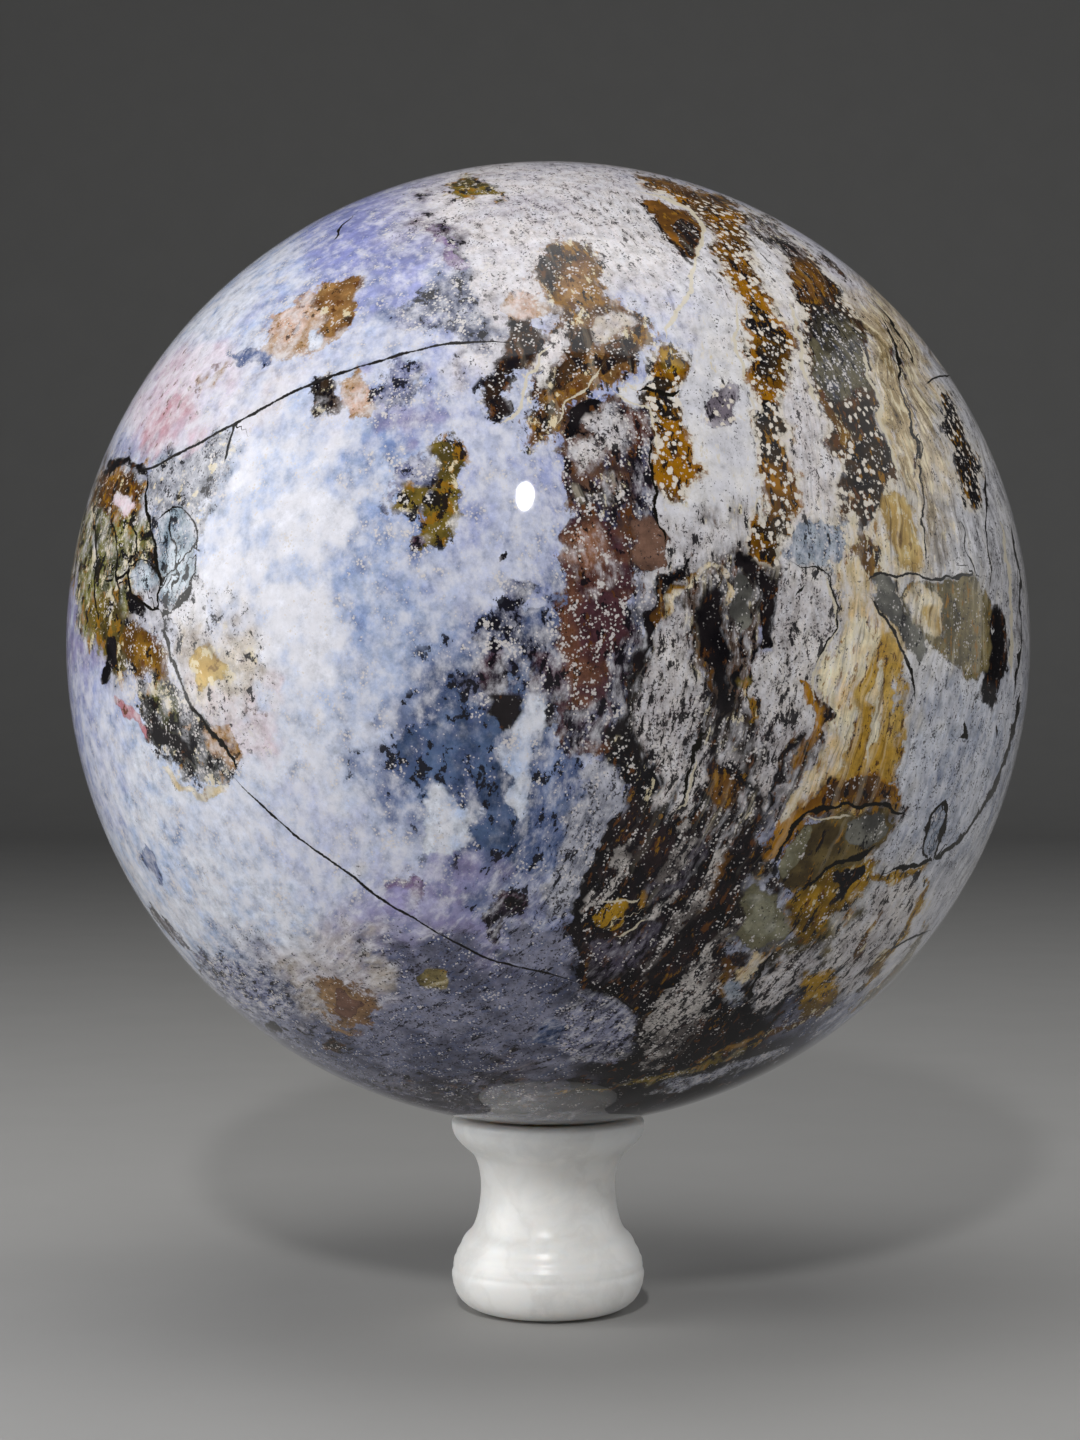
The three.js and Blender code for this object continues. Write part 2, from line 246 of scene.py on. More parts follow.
# The first crisp layer: the large bodies of mineral. Outlines are in photograph pixels
BODIES = {
    "tan islet on the shoulder": (PEACH, [
        (262, 345), (266, 330), (276, 314), (284, 303), (302, 296), (318, 285), (335, 279), (352, 276),
        (360, 288), (361, 308), (353, 322), (340, 336), (324, 348), (305, 351), (285, 356), (270, 354)]),
    "navy tail of the islet": (NAVY, [
        (221, 353), (232, 357), (243, 346), (254, 341), (263, 346), (272, 356), (280, 364), (266, 366),
        (252, 358), (238, 362), (226, 361)]),
    "gold cap": (OLIVE_GOLD, [
        (442, 196), (449, 185), (463, 177), (479, 177), (489, 185), (500, 193), (511, 197), (496, 201),
        (478, 198), (458, 198)]),
    "brown knot under the crack": (UMBER, [
        (311, 386), (320, 377), (334, 382), (341, 392), (333, 403), (326, 414), (316, 416), (313, 403)]),
    "tan ring under the crack": (PEACH, [
        (342, 384), (356, 377), (370, 382), (376, 398), (371, 414), (360, 418), (348, 412), (341, 400)]),
    "maroon smoke of the crown": (MAROON_SMOKE, [
        (422, 214), (436, 220), (448, 234), (460, 250), (470, 268), (460, 274), (446, 264), (433, 247),
        (425, 232)]),
    "blue smoke of the crown": (BLUE_SMOKE, [
        (402, 306), (420, 297), (440, 284), (458, 279), (470, 290), (482, 308), (479, 328), (462, 336),
        (440, 332), (420, 331), (407, 320)]),
    "smoke under the crack": (BLUE_SMOKE, [
        (380, 372), (396, 362), (412, 360), (420, 372), (414, 392), (400, 408), (386, 414), (376, 398)]),
    "blue shadow of the islet": (BLUE_SMOKE, [
        (386, 476), (404, 462), (424, 460), (440, 468), (444, 490), (436, 512), (420, 524), (400, 522),
        (386, 504)]),
    "gold islet at left": (OLIVE_GOLD, [
        (430, 450), (442, 438), (458, 441), (465, 460), (461, 482), (459, 502), (460, 518), (452, 536),
        (438, 547), (422, 551), (408, 540), (411, 524), (422, 514), (427, 500), (430, 484), (428, 467)]),
    "lobe of the gold islet": (OLIVE_GOLD, [
        (392, 500), (404, 490), (420, 492), (426, 504), (414, 513), (398, 513)]),
    "slate cluster of the heart": (NIGHT_SLATE, [
        (480, 640), (490, 604), (505, 586), (521, 590), (517, 620), (524, 650), (512, 690), (502, 722),
        (486, 718), (470, 692), (466, 662)]),
    "second slate cluster": (NIGHT_SLATE, [
        (522, 612), (538, 600), (550, 616), (552, 648), (560, 680), (556, 712), (540, 720), (526, 700),
        (520, 668), (528, 640)]),
    "slate shore": (DEEP_SLATE, [
        (392, 742), (412, 724), (436, 722), (452, 738), (470, 742), (486, 730), (498, 744), (496, 774),
        (480, 784), (462, 776), (446, 788), (428, 800), (410, 792), (396, 770)]),
    "pale island of the slate": (ICE, [
        (416, 800), (432, 788), (450, 790), (466, 800), (478, 812), (474, 836), (458, 852), (440, 862),
        (424, 852), (418, 828)]),
    "violet spot at the crack": (MAROON_SMOKE, [
        (384, 884), (396, 872), (412, 870), (422, 884), (418, 902), (402, 914), (388, 908)]),
    "gold lump of the brow": (BROW_GOLD, [
        (533, 262), (536, 248), (548, 241), (562, 238), (580, 238), (596, 246), (603, 262), (604, 284),
        (612, 300), (604, 312), (588, 318), (570, 312), (556, 306), (545, 296), (538, 280)]),
    "skirt of the brow": (BROWN_CHAOS, [
        (560, 306), (580, 302), (604, 303), (632, 316), (652, 330), (650, 345), (634, 350), (618, 358),
        (604, 372), (590, 388), (578, 402), (566, 420), (552, 438), (538, 446), (524, 440), (520, 424),
        (530, 408), (534, 388), (528, 370), (536, 352), (548, 338), (556, 322)]),
    "peach of the brow": (PEACH, [
        (508, 300), (516, 288), (530, 286), (546, 298), (548, 314), (534, 322), (518, 322), (508, 314)]),
    "dark foot of the brow": (CHOCOLATE, [
        (505, 323), (520, 314), (540, 318), (546, 334), (540, 352), (530, 366), (520, 380), (512, 396),
        (516, 412), (508, 424), (496, 416), (490, 398), (494, 378), (500, 360), (502, 340)]),
    "brown triangle": (BROWN_CHAOS, [
        (593, 342), (612, 337), (634, 337), (657, 341), (646, 354), (632, 368), (620, 382), (611, 396),
        (600, 398), (590, 388), (600, 372), (604, 356)]),
    "white triangle": (WHITE_AGATE, [
        (659, 349), (650, 360), (640, 374), (626, 388), (610, 398), (628, 408), (645, 415), (648, 400),
        (652, 384), (659, 368)]),
    "ginger lens": (GINGER, [
        (637, 197), (661, 202), (682, 210), (698, 229), (703, 250), (699, 265), (685, 255), (672, 245),
        (661, 229), (650, 213)]),
    "dark hood": (HOOD_BROWN, [
        (566, 404), (580, 400), (596, 404), (611, 400), (630, 408), (645, 416), (652, 434), (656, 456),
        (660, 480), (663, 500), (666, 524), (668, 548), (664, 566), (650, 572), (634, 572), (616, 560),
        (600, 540), (584, 524), (570, 512), (562, 496), (566, 478), (572, 462), (568, 444), (562, 424)]),
    "red-brown column": (RED_BROWN, [
        (561, 548), (566, 532), (580, 522), (600, 520), (617, 530), (628, 548), (632, 580), (630, 610),
        (626, 640), (620, 668), (616, 700), (610, 730), (602, 752), (586, 762), (568, 756), (556, 738),
        (556, 716), (562, 696), (556, 672), (550, 648), (556, 620), (558, 590)]),
    "dark bay of the column": (MAROON, [
        (530, 640), (545, 642), (556, 656), (562, 676), (560, 704), (552, 726), (538, 716), (526, 694),
        (520, 670)]),
    "maroon islet": (MAROON, [
        (480, 658), (490, 645), (503, 649), (513, 664), (508, 682), (498, 698), (488, 702), (483, 686),
        (478, 672)]),
    "black islet": (IRON_BLACK, [
        (486, 704), (500, 694), (516, 695), (523, 703), (512, 716), (506, 734), (498, 726), (495, 712)]),
    "navy comma": (NAVY, [
        (527, 606), (538, 600), (543, 610), (534, 624), (526, 640), (521, 632), (524, 618)]),
    "pale tongue": (ICE, [
        (504, 742), (514, 722), (526, 704), (541, 698), (546, 712), (537, 738), (531, 764), (530, 796),
        (522, 820), (510, 812), (502, 784), (500, 758)]),
    "slate column": (SLATE, [
        (540, 728), (560, 748), (582, 758), (574, 790), (560, 812), (556, 850), (541, 882), (524, 886),
        (518, 856), (530, 824), (530, 790), (532, 756)]),
    "black gulf": (SNOWY_BLACK, [
        (668, 560), (686, 556), (682, 580), (670, 602), (658, 622), (646, 645), (638, 665), (632, 690),
        (630, 715), (638, 738), (652, 756), (668, 762), (672, 790), (655, 806), (640, 830), (624, 800),
        (612, 770), (608, 745), (614, 715), (616, 685), (622, 655), (634, 632), (648, 612), (658, 590)]),
    "peppered patch": (PEPPERED, [
        (668, 597), (680, 590), (688, 606), (690, 640), (694, 668), (702, 697), (711, 726), (694, 765),
        (680, 786), (668, 815), (652, 816), (660, 786), (665, 762), (644, 752), (632, 723), (636, 690),
        (648, 658), (657, 625)]),
    "brown heart": (UMBER, [
        (688, 604), (692, 582), (702, 568), (716, 556), (732, 548), (744, 556), (757, 574), (766, 596),
        (770, 620), (766, 642), (758, 658), (754, 680), (748, 700), (742, 722), (734, 744), (724, 760),
        (712, 744), (706, 716), (699, 690), (694, 662), (690, 632)]),
    "second peppered patch": (GREY_PEPPER, [
        (584, 772), (600, 758), (612, 770), (618, 792), (620, 822), (614, 842), (602, 862), (588, 884),
        (576, 900), (562, 914), (548, 918), (540, 900), (552, 880), (556, 856), (561, 820), (572, 794)]),
    "blue wedge": (VIOLET_GREY, [
        (498, 944), (522, 930), (548, 922), (562, 924), (568, 946), (579, 984), (550, 976), (520, 962)]),
    "orb band nearest the middle": (ORB_GOLD, [
        (652, 350), (664, 345), (678, 348), (683, 360), (680, 376), (674, 392), (678, 410), (676, 424),
        (686, 436), (696, 446), (704, 458), (700, 472), (692, 482), (686, 494), (674, 492), (662, 482),
        (656, 466), (652, 448), (648, 430), (645, 412), (640, 396), (644, 380), (650, 366)]),
    "dotted patch between the bands": (ORB_GREY, [
        (703, 384), (718, 380), (733, 388), (737, 406), (728, 422), (710, 424), (701, 408)]),
    "second orb band": (ORB_GOLD, [
        (635, 173), (660, 178), (690, 186), (716, 196), (740, 208), (752, 222), (748, 240), (752, 258),
        (762, 274), (770, 290), (778, 304), (784, 320), (792, 338), (794, 356), (790, 374), (784, 390),
        (780, 404), (784, 424), (786, 444), (790, 458), (800, 470), (804, 486), (800, 502), (790, 512),
        (780, 520), (778, 540), (774, 558), (764, 568), (752, 560), (748, 542), (752, 524), (760, 508),
        (760, 490), (758, 470), (754, 450), (752, 430), (754, 408), (750, 390), (746, 370), (748, 352),
        (742, 336), (744, 318), (740, 302), (734, 286), (726, 272), (718, 258), (714, 240), (704, 226),
        (690, 212), (668, 196), (646, 184)]),
    "third orb band": (ORB_BROWN, [
        (740, 212), (756, 212), (772, 220), (790, 234), (806, 250), (820, 264), (836, 280), (848, 296),
        (856, 312), (866, 326), (874, 342), (876, 360), (870, 376), (872, 392), (876, 410), (882, 430),
        (890, 450), (898, 468), (900, 484), (890, 494), (880, 502), (878, 516), (868, 528), (856, 528),
        (848, 514), (844, 494), (840, 470), (832, 448), (822, 430), (816, 410), (810, 392), (804, 374),
        (800, 350), (802, 330), (800, 312), (794, 296), (786, 280), (788, 264), (776, 250), (758, 236),
        (744, 226)]),
    "fourth orb band": (ORB_BLACK, [
        (938, 378), (948, 388), (957, 404), (964, 420), (972, 438), (979, 456), (981, 478), (979, 502),
        (972, 516), (963, 502), (957, 482), (953, 460), (948, 436), (942, 412)]),
    "beige strip": (BEIGE, [
        (868, 318), (880, 326), (890, 342), (896, 364), (902, 388), (906, 412), (912, 440), (916, 470),
        (912, 494), (904, 488), (900, 466), (892, 444), (884, 424), (878, 402), (876, 380), (880, 360),
        (876, 340)]),
    "stippled pool": (BLUE_STIPPLE, [
        (779, 548), (784, 530), (800, 518), (822, 516), (838, 524), (846, 542), (838, 560), (822, 568),
        (800, 563), (785, 560)]),
    "speckled tongue": (PALE_PEPPER, [
        (776, 566), (796, 560), (818, 564), (834, 572), (839, 592), (836, 628), (824, 649), (812, 665),
        (813, 684), (799, 697), (786, 702), (776, 690), (766, 668), (768, 650), (774, 634), (773, 607),
        (770, 585)]),
    "upper tan blade": (YELLOW_TAN, [
        (876, 506), (890, 494), (904, 498), (914, 520), (919, 550), (921, 574), (905, 577), (898, 556),
        (890, 534), (880, 518)]),
    "lower gold blade": (GOLD, [
        (850, 532), (862, 530), (876, 544), (886, 562), (884, 578), (868, 579), (858, 566), (851, 552)]),
    "peppered band": (PEPPERED, [
        (776, 702), (790, 698), (800, 706), (797, 722), (788, 740), (778, 760), (768, 782), (764, 800),
        (768, 814), (756, 824), (742, 812), (738, 798), (748, 778), (756, 756), (764, 734), (770, 716)]),
    "cream of the fan": (FAN_CREAM, [
        (820, 660), (832, 640), (844, 618), (854, 592), (868, 606), (884, 628), (880, 660), (868, 690),
        (858, 720), (850, 750), (842, 776), (822, 790), (806, 802), (800, 790), (812, 770), (822, 745),
        (828, 715), (826, 690), (816, 672)]),
    "gold of the fan": (OCHRE, [
        (870, 640), (884, 632), (894, 648), (903, 664), (903, 700), (900, 740), (897, 775), (886, 798),
        (866, 800), (846, 800), (830, 796), (842, 776), (852, 750), (858, 720), (862, 690), (866, 660)]),
    "gold foot of the fan": (BURNT_GOLD, [
        (846, 778), (870, 774), (892, 780), (904, 794), (896, 806), (870, 803), (840, 799), (817, 806),
        (800, 826), (786, 848), (772, 870), (762, 864), (770, 842), (782, 820), (796, 800), (818, 788)]),
    "grey pebble": (SMOKE, [
        (868, 592), (872, 578), (888, 574), (900, 581), (906, 600), (910, 620), (918, 636), (926, 652),
        (924, 668), (912, 664), (902, 648), (892, 634), (884, 618), (874, 608)]),
    "olive pebble": (OLIVE_GREY, [
        (910, 592), (922, 579), (950, 576), (980, 578), (992, 600), (996, 626), (996, 652), (988, 668),
        (972, 680), (956, 668), (944, 658), (930, 648), (917, 634), (910, 614)]),
    "dark heel of the pebble": (IRON_BLACK, [
        (990, 608), (998, 600), (1006, 612), (1010, 642), (1012, 668), (1006, 696), (996, 708), (984, 696),
        (982, 676), (990, 656), (990, 630)]),
    "dark of the lower middle": (DARK_CHAOS, [
        (606, 752), (622, 776), (638, 812), (654, 822), (668, 800), (692, 768), (710, 750), (726, 756),
        (744, 764), (760, 790), (764, 820), (764, 846), (774, 870), (782, 890), (760, 882), (742, 888),
        (730, 904), (726, 926), (730, 946), (745, 960), (758, 958), (752, 976), (742, 1000), (728, 1020),
        (706, 1040), (680, 1056), (655, 1066), (636, 1052), (636, 1020), (618, 1000), (600, 990),
        (580, 984), (568, 960), (562, 930), (572, 908), (590, 886), (606, 862), (618, 840), (620, 812),
        (612, 780)]),
    "smoky lens": (SMOKY_QUARTZ, [
        (778, 876), (784, 855), (792, 834), (807, 819), (839, 813), (876, 808), (900, 814), (888, 834),
        (866, 852), (846, 870), (823, 878), (802, 888), (786, 887)]),
    "round smoky lens": (LENS_GREY, [
        (733, 924), (738, 903), (751, 889), (767, 886), (779, 897), (784, 915), (780, 934), (768, 948),
        (752, 953), (738, 944)]),
    "gold flats": (BRIGHT_GOLD, [
        (786, 890), (806, 890), (828, 880), (850, 868), (868, 852), (882, 858), (866, 884), (852, 906),
        (826, 924), (800, 942), (784, 936), (790, 912)]),
    "gold at the right limb": (BRIGHT_GOLD, [
        (796, 998), (804, 980), (820, 969), (836, 973), (841, 990), (832, 1007), (816, 1015), (802, 1012)]),
    "pale speckled blade": (PALE_PEPPER, [
        (812, 976), (828, 950), (846, 928), (866, 905), (890, 886), (915, 876), (927, 888), (913, 915),
        (893, 945), (873, 972), (852, 994), (838, 986), (842, 968), (828, 966)]),
    "peppered wedge": (PEPPERED, [
        (754, 988), (764, 974), (784, 960), (804, 948), (819, 944), (815, 966), (800, 982), (785, 998),
        (768, 1010), (756, 1004)]),
    "grey foot": (FOOT_GREY, [
        (566, 1004), (582, 992), (602, 992), (622, 1004), (634, 1022), (630, 1046), (610, 1060),
        (584, 1064), (564, 1050), (556, 1026)]),
    "tan patch low at left": (SOFT_TAN, [
        (312, 984), (326, 972), (344, 976), (360, 988), (372, 1008), (364, 1026), (344, 1028),
        (326, 1012)]),
    "maroon bruise": (MAUVE, [(383, 890), (400, 884), (413, 894), (411, 911), (396, 919), (383, 911)]),
    "dark oval": (MAROON, [
        (476, 934), (488, 912), (503, 897), (521, 892), (530, 899), (523, 916), (508, 927), (494, 938)]),
    "olive eye": (OLIVE_GREY, [
        (414, 975), (426, 969), (442, 969), (451, 976), (447, 986), (434, 989), (420, 984)]),
    "dark comma low down": (NAVY, [(536, 1034), (556, 1018), (570, 1021), (564, 1036), (550, 1041)]),
    "dark slate streak": (BLUE_SMOKE, [
        (194, 950), (218, 956), (246, 970), (272, 982), (292, 1000), (284, 1014), (258, 1010), (240, 1006),
        (222, 990), (204, 970)]),
    "grey wedge": (GREY_WEDGE, [
        (148, 475), (180, 456), (236, 425), (229, 450), (214, 479), (203, 510), (199, 545), (192, 560),
        (176, 540), (160, 515), (152, 495)]),
    "olive of the nest": (NEST_OLIVE, [
        (80, 520), (92, 504), (112, 512), (132, 520), (148, 514), (158, 530), (153, 560), (141, 578),
        (128, 560), (120, 580), (127, 600), (124, 620), (112, 642), (100, 652), (88, 642), (80, 610),
        (76, 566)]),
    "gold of the nest": (OLIVE_GOLD, [
        (88, 600), (104, 592), (118, 604), (128, 624), (134, 650), (126, 668), (112, 673), (100, 657),
        (90, 634)]),
    "amber foot of the nest": (GOLD, [
        (120, 628), (141, 626), (159, 641), (169, 664), (160, 685), (142, 685), (128, 668)]),
    "rusty crown of the nest": (BROW_GOLD, [
        (91, 498), (100, 478), (118, 467), (133, 474), (141, 492), (139, 512), (122, 521), (104, 516)]),
    "blue shards of the nest": (CRYSTAL, [
        (156, 524), (171, 511), (187, 514), (197, 531), (196, 557), (188, 580), (176, 600), (164, 606),
        (158, 588), (155, 556)]),
    "pale heart of the nest": (CRYSTAL, [
        (129, 566), (142, 557), (155, 568), (159, 587), (148, 599), (136, 593)]),
    "dark mass of the nest": (NEST_DARK, [
        (138, 676), (156, 671), (176, 684), (196, 704), (214, 726), (230, 744), (239, 764), (229, 785),
        (206, 789), (184, 776), (164, 756), (148, 730), (138, 704)]),
    "amber spot": (PEACH, [(207, 729), (222, 723), (236, 740), (241, 760), (229, 773), (214, 759)]),
    "yellow spot": (YELLOW_TAN, [(196, 668), (208, 650), (221, 660), (219, 684), (204, 692)]),
}

# The second crisp layer: what lies on the bodies or breaks them up, and a painted reflection of a brown
# square in the hood
INLAYS = {
    "gold of the tan islet": (TAN_GOLD, [
        (308, 295), (322, 283), (336, 279), (352, 277), (360, 288), (360, 306), (352, 320), (344, 327),
        (333, 334), (321, 343), (315, 330), (322, 315), (312, 307)]),
    "blue in the tan islet": (ICE, [(300, 343), (306, 330), (314, 330), (318, 344), (310, 352)]),
    "brown toe of the gold islet": (MAROON, [(404, 534), (418, 530), (430, 536), (424, 548), (410, 546)]),
    "dark in the gold lump": (CHOCOLATE, [
        (534, 262), (540, 250), (552, 248), (556, 262), (560, 280), (552, 290), (544, 280), (538, 274)]),
    "tan in the gold lump": (TAN_GOLD, [
        (564, 262), (580, 256), (592, 266), (594, 286), (584, 300), (568, 296), (562, 280)]),
    "cream of the brow": (PALE_TAN, [
        (604, 316), (624, 322), (640, 334), (624, 336), (608, 344), (594, 340), (596, 326)]),
    "pale hollow of the brow": (LILAC, [
        (548, 330), (566, 322), (572, 336), (562, 354), (550, 372), (542, 392), (534, 384), (540, 352)]),
    "dark of the skirt": (CHOCOLATE, [
        (570, 330), (584, 322), (600, 324), (596, 338), (584, 352), (574, 372), (560, 392), (550, 400),
        (554, 376), (566, 352)]),
    "dark of the triangle": (CHOCOLATE, [
        (600, 352), (622, 343), (646, 344), (636, 352), (618, 360), (606, 372), (600, 384), (596, 368)]),
    "dark heart of the ginger lens": (CHOCOLATE, [
        (676, 222), (690, 226), (699, 246), (697, 260), (686, 250), (678, 238)]),
    "gold head of the middle orb band": (BRIGHT_GOLD, [
        (657, 350), (668, 347), (678, 352), (676, 368), (662, 374), (654, 364)]),
    "black in the middle orb band": (ORB_BLACK, [
        (637, 388), (650, 380), (664, 384), (678, 386), (676, 408), (672, 424), (656, 428), (648, 412)]),
    "upper black in the second orb band": (ORB_BLACK, [
        (744, 300), (758, 300), (770, 312), (780, 330), (780, 344), (766, 346), (754, 338), (746, 322)]),
    "middle black in the second orb band": (ORB_BLACK, [
        (758, 352), (776, 346), (786, 356), (780, 372), (766, 380), (754, 374)]),
    "lower black in the second orb band": (ORB_BLACK, [
        (752, 408), (768, 402), (782, 412), (786, 440), (790, 458), (778, 466), (762, 462), (752, 444)]),
    "foot of the second orb band": (ORB_BLACK, [
        (758, 520), (772, 514), (786, 518), (784, 530), (770, 536), (758, 532)]),
    "dark toe of the second orb band": (ORB_BLACK, [
        (756, 548), (768, 544), (778, 556), (772, 570), (762, 566)]),
    "umber head of the third orb band": (UMBER, [
        (742, 213), (762, 216), (780, 228), (796, 244), (806, 258), (794, 262), (776, 250), (758, 238)]),
    "rust of the third orb band": (RUST, [
        (788, 268), (800, 260), (818, 272), (834, 286), (844, 300), (832, 308), (812, 306), (798, 298)]),
    "olive of the third orb band": (ORB_OLIVE, [
        (806, 322), (822, 314), (842, 316), (858, 330), (868, 344), (864, 362), (868, 384), (858, 398),
        (838, 400), (820, 394), (808, 372)]),
    "gold streak of the third orb band": (GOLD, [
        (816, 402), (826, 404), (842, 420), (856, 438), (848, 446), (832, 430), (820, 416)]),
    "black foot of the third orb band": (ORB_BLACK, [
        (842, 440), (860, 436), (876, 446), (888, 470), (884, 490), (872, 504), (856, 500), (848, 476)]),
    "pale eye of the hood": (PEPPERED, [
        (582, 428), (594, 414), (611, 414), (621, 428), (621, 446), (610, 456), (596, 458), (584, 448)]),
    "ginger of the hood": (COLUMN_TOP, [
        (618, 418), (632, 416), (644, 430), (648, 448), (640, 462), (628, 456), (620, 440)]),
    "dark top of the hood": (IRON_BLACK, [
        (572, 408), (588, 402), (604, 406), (596, 414), (584, 424), (574, 436), (568, 424)]),
    "slate of the hood": (UMBER, [
        (572, 486), (590, 478), (608, 474), (624, 478), (630, 488), (616, 497), (596, 502), (580, 500)]),
    "dark side of the hood": (MAROON, [
        (634, 462), (648, 452), (656, 470), (661, 496), (664, 524), (658, 536), (648, 520), (640, 496),
        (632, 480)]),
    # Painted reflection: a smooth-edged brown square that stands for a brown object mirrored in the polish,
    # not a mineral
    "painted reflection of a brown square": (TAN_BROWN, [
        (634, 520), (642, 517), (656, 517), (665, 520), (668, 532), (668, 556), (665, 568), (650, 571),
        (638, 569), (634, 556), (633, 536)]),
    "amber head of the column": (COLUMN_TOP, [
        (565, 552), (576, 536), (596, 526), (610, 532), (618, 556), (612, 582), (600, 598), (584, 594),
        (568, 576)]),
    "smooth heart of the column": (RED_BROWN, [
        (596, 590), (612, 584), (620, 604), (618, 632), (610, 660), (596, 676), (586, 664), (590, 640),
        (590, 612)]),
    "maroon side of the column": (MAROON, [
        (612, 640), (624, 620), (628, 590), (634, 604), (632, 640), (626, 676), (620, 708), (610, 728),
        (604, 704), (610, 672)]),
    "dark foot of the column": (MAROON, [
        (562, 716), (580, 706), (600, 700), (606, 726), (598, 746), (580, 756), (564, 746)]),
    "dark bowl of the heart": (IRON_BLACK, [
        (700, 600), (712, 584), (722, 592), (720, 616), (728, 640), (724, 668), (730, 694), (722, 716),
        (712, 700), (708, 668), (702, 640)]),
    "grey of the heart": (SMOKE, [
        (730, 572), (742, 576), (750, 596), (752, 620), (744, 640), (736, 626), (732, 600)]),
    "rust of the gulf": (RUST, [
        (660, 596), (668, 590), (672, 600), (660, 618), (650, 634), (644, 628), (650, 612)]),
    "white of the peppered patch": (PALE_PEPPER, [
        (662, 636), (672, 620), (684, 628), (686, 660), (694, 690), (686, 716), (672, 722), (664, 700),
        (660, 668)]),
    "cream side of the pebble": (CREAM, [
        (911, 596), (922, 584), (934, 590), (941, 606), (941, 628), (934, 642), (922, 634), (914, 618)]),
    "yellow of the pebble": (YELLOW_TAN, [(924, 612), (932, 604), (938, 618), (938, 634), (930, 632)]),
    "cream blade": (CREAM, [(868, 526), (880, 520), (892, 536), (902, 560), (894, 568), (880, 551)]),
    "second cream blade": (CREAM, [(846, 566), (856, 556), (868, 570), (880, 590), (872, 600), (858, 590)]),
    "pale blade of the fan": (FAN_CREAM, [
        (878, 668), (886, 664), (886, 700), (880, 740), (874, 770), (868, 768), (874, 724)]),
    "dark root of the fan": (RUST, [
        (826, 792), (846, 780), (868, 776), (892, 784), (902, 796), (890, 804), (866, 800), (842, 798),
        (826, 800)]),
    "pale edge of the smoky lens": (LENS_GREY, [
        (779, 874), (785, 852), (796, 832), (812, 822), (808, 838), (798, 856), (790, 876)]),
    "dark of the smoky lens": (SMOKE, [
        (858, 816), (878, 812), (894, 818), (882, 832), (864, 844), (850, 846), (848, 830)]),
    "light of the round lens": (SILVER_LENS, [
        (742, 906), (756, 893), (770, 894), (778, 908), (776, 926), (764, 938), (748, 932), (740, 918)]),
    "black of the gold flats": (IRON_BLACK, [
        (838, 876), (850, 868), (862, 862), (860, 874), (850, 886), (844, 900), (834, 904), (836, 890)]),
    "gold islands of the diagonal": (BRIGHT_GOLD, [
        (592, 928), (600, 906), (614, 896), (628, 900), (622, 918), (608, 932)]),
    "second gold island of the diagonal": (GOLD, [
        (634, 902), (644, 886), (658, 882), (656, 898), (642, 910)]),
    "violet of the diagonal": (DARK_VIOLET, [
        (648, 884), (672, 862), (696, 836), (714, 846), (700, 874), (676, 898), (656, 906)]),
    "umber of the diagonal": (UMBER, [
        (700, 812), (722, 792), (744, 790), (752, 812), (744, 840), (726, 858), (712, 846), (704, 830)]),
    "umber top of the diagonal": (RUST, [
        (698, 796), (710, 778), (728, 770), (742, 780), (740, 796), (722, 806), (706, 808)]),
    "dark violet low in the diagonal": (DARK_VIOLET, [
        (586, 950), (606, 938), (630, 934), (652, 920), (664, 930), (646, 952), (622, 972), (598, 984),
        (588, 972)]),
    "snow field of the diagonal": (SNOW, [
        (704, 952), (720, 956), (722, 976), (710, 1000), (700, 1024), (684, 1044), (664, 1060), (644, 1064),
        (640, 1044), (652, 1020), (668, 996), (682, 972)]),
    "snow strip by the gulf": (PEPPERED, [
        (702, 738), (716, 734), (718, 750), (706, 772), (696, 796), (684, 820), (670, 822), (674, 798),
        (688, 768)]),
    "snow beside the second gold island": (SNOW, [
        (664, 846), (684, 828), (700, 830), (696, 852), (680, 872), (662, 884), (652, 872)]),
    "orange smear": (GOLD, [(716, 992), (722, 968), (730, 952), (738, 962), (734, 984), (722, 1000)]),
    "lilac of the limb loop": (BLUE_STIPPLE, [
        (946, 798), (949, 818), (941, 841), (930, 856), (922, 846), (928, 826), (936, 808)]),
    "pale knee": (CREAM, [(736, 972), (752, 958), (772, 950), (772, 962), (756, 976), (740, 986)]),
    "stippled knee": (BLUE_STIPPLE, [(722, 984), (736, 974), (746, 984), (738, 1004), (724, 1002)]),
    "crystal of the nest": (PINK_WHITE, [(113, 510), (119, 496), (127, 499), (135, 513), (124, 517)]),
    "black root of the nest": (IRON_BLACK, [
        (124, 592), (136, 597), (148, 608), (150, 622), (138, 624), (129, 612)]),
    "black tail of the nest": (IRON_BLACK, [
        (101, 640), (110, 634), (112, 656), (107, 680), (102, 688), (99, 662)]),
    "olive in the dark mass": (NEST_OLIVE, [
        (146, 684), (160, 684), (176, 700), (186, 722), (176, 730), (162, 714), (150, 700)]),
    "black of the dark mass": (IRON_BLACK, [
        (152, 712), (164, 716), (180, 738), (196, 756), (190, 768), (172, 752), (158, 734)]),
    "brown core of the low patch": (TAN_BROWN, [
        (328, 990), (340, 984), (350, 998), (358, 1014), (346, 1020), (334, 1006)]),
    "black core of the dark oval": (IRON_BLACK, [
        (502, 908), (514, 900), (524, 902), (520, 914), (508, 918)]),
}

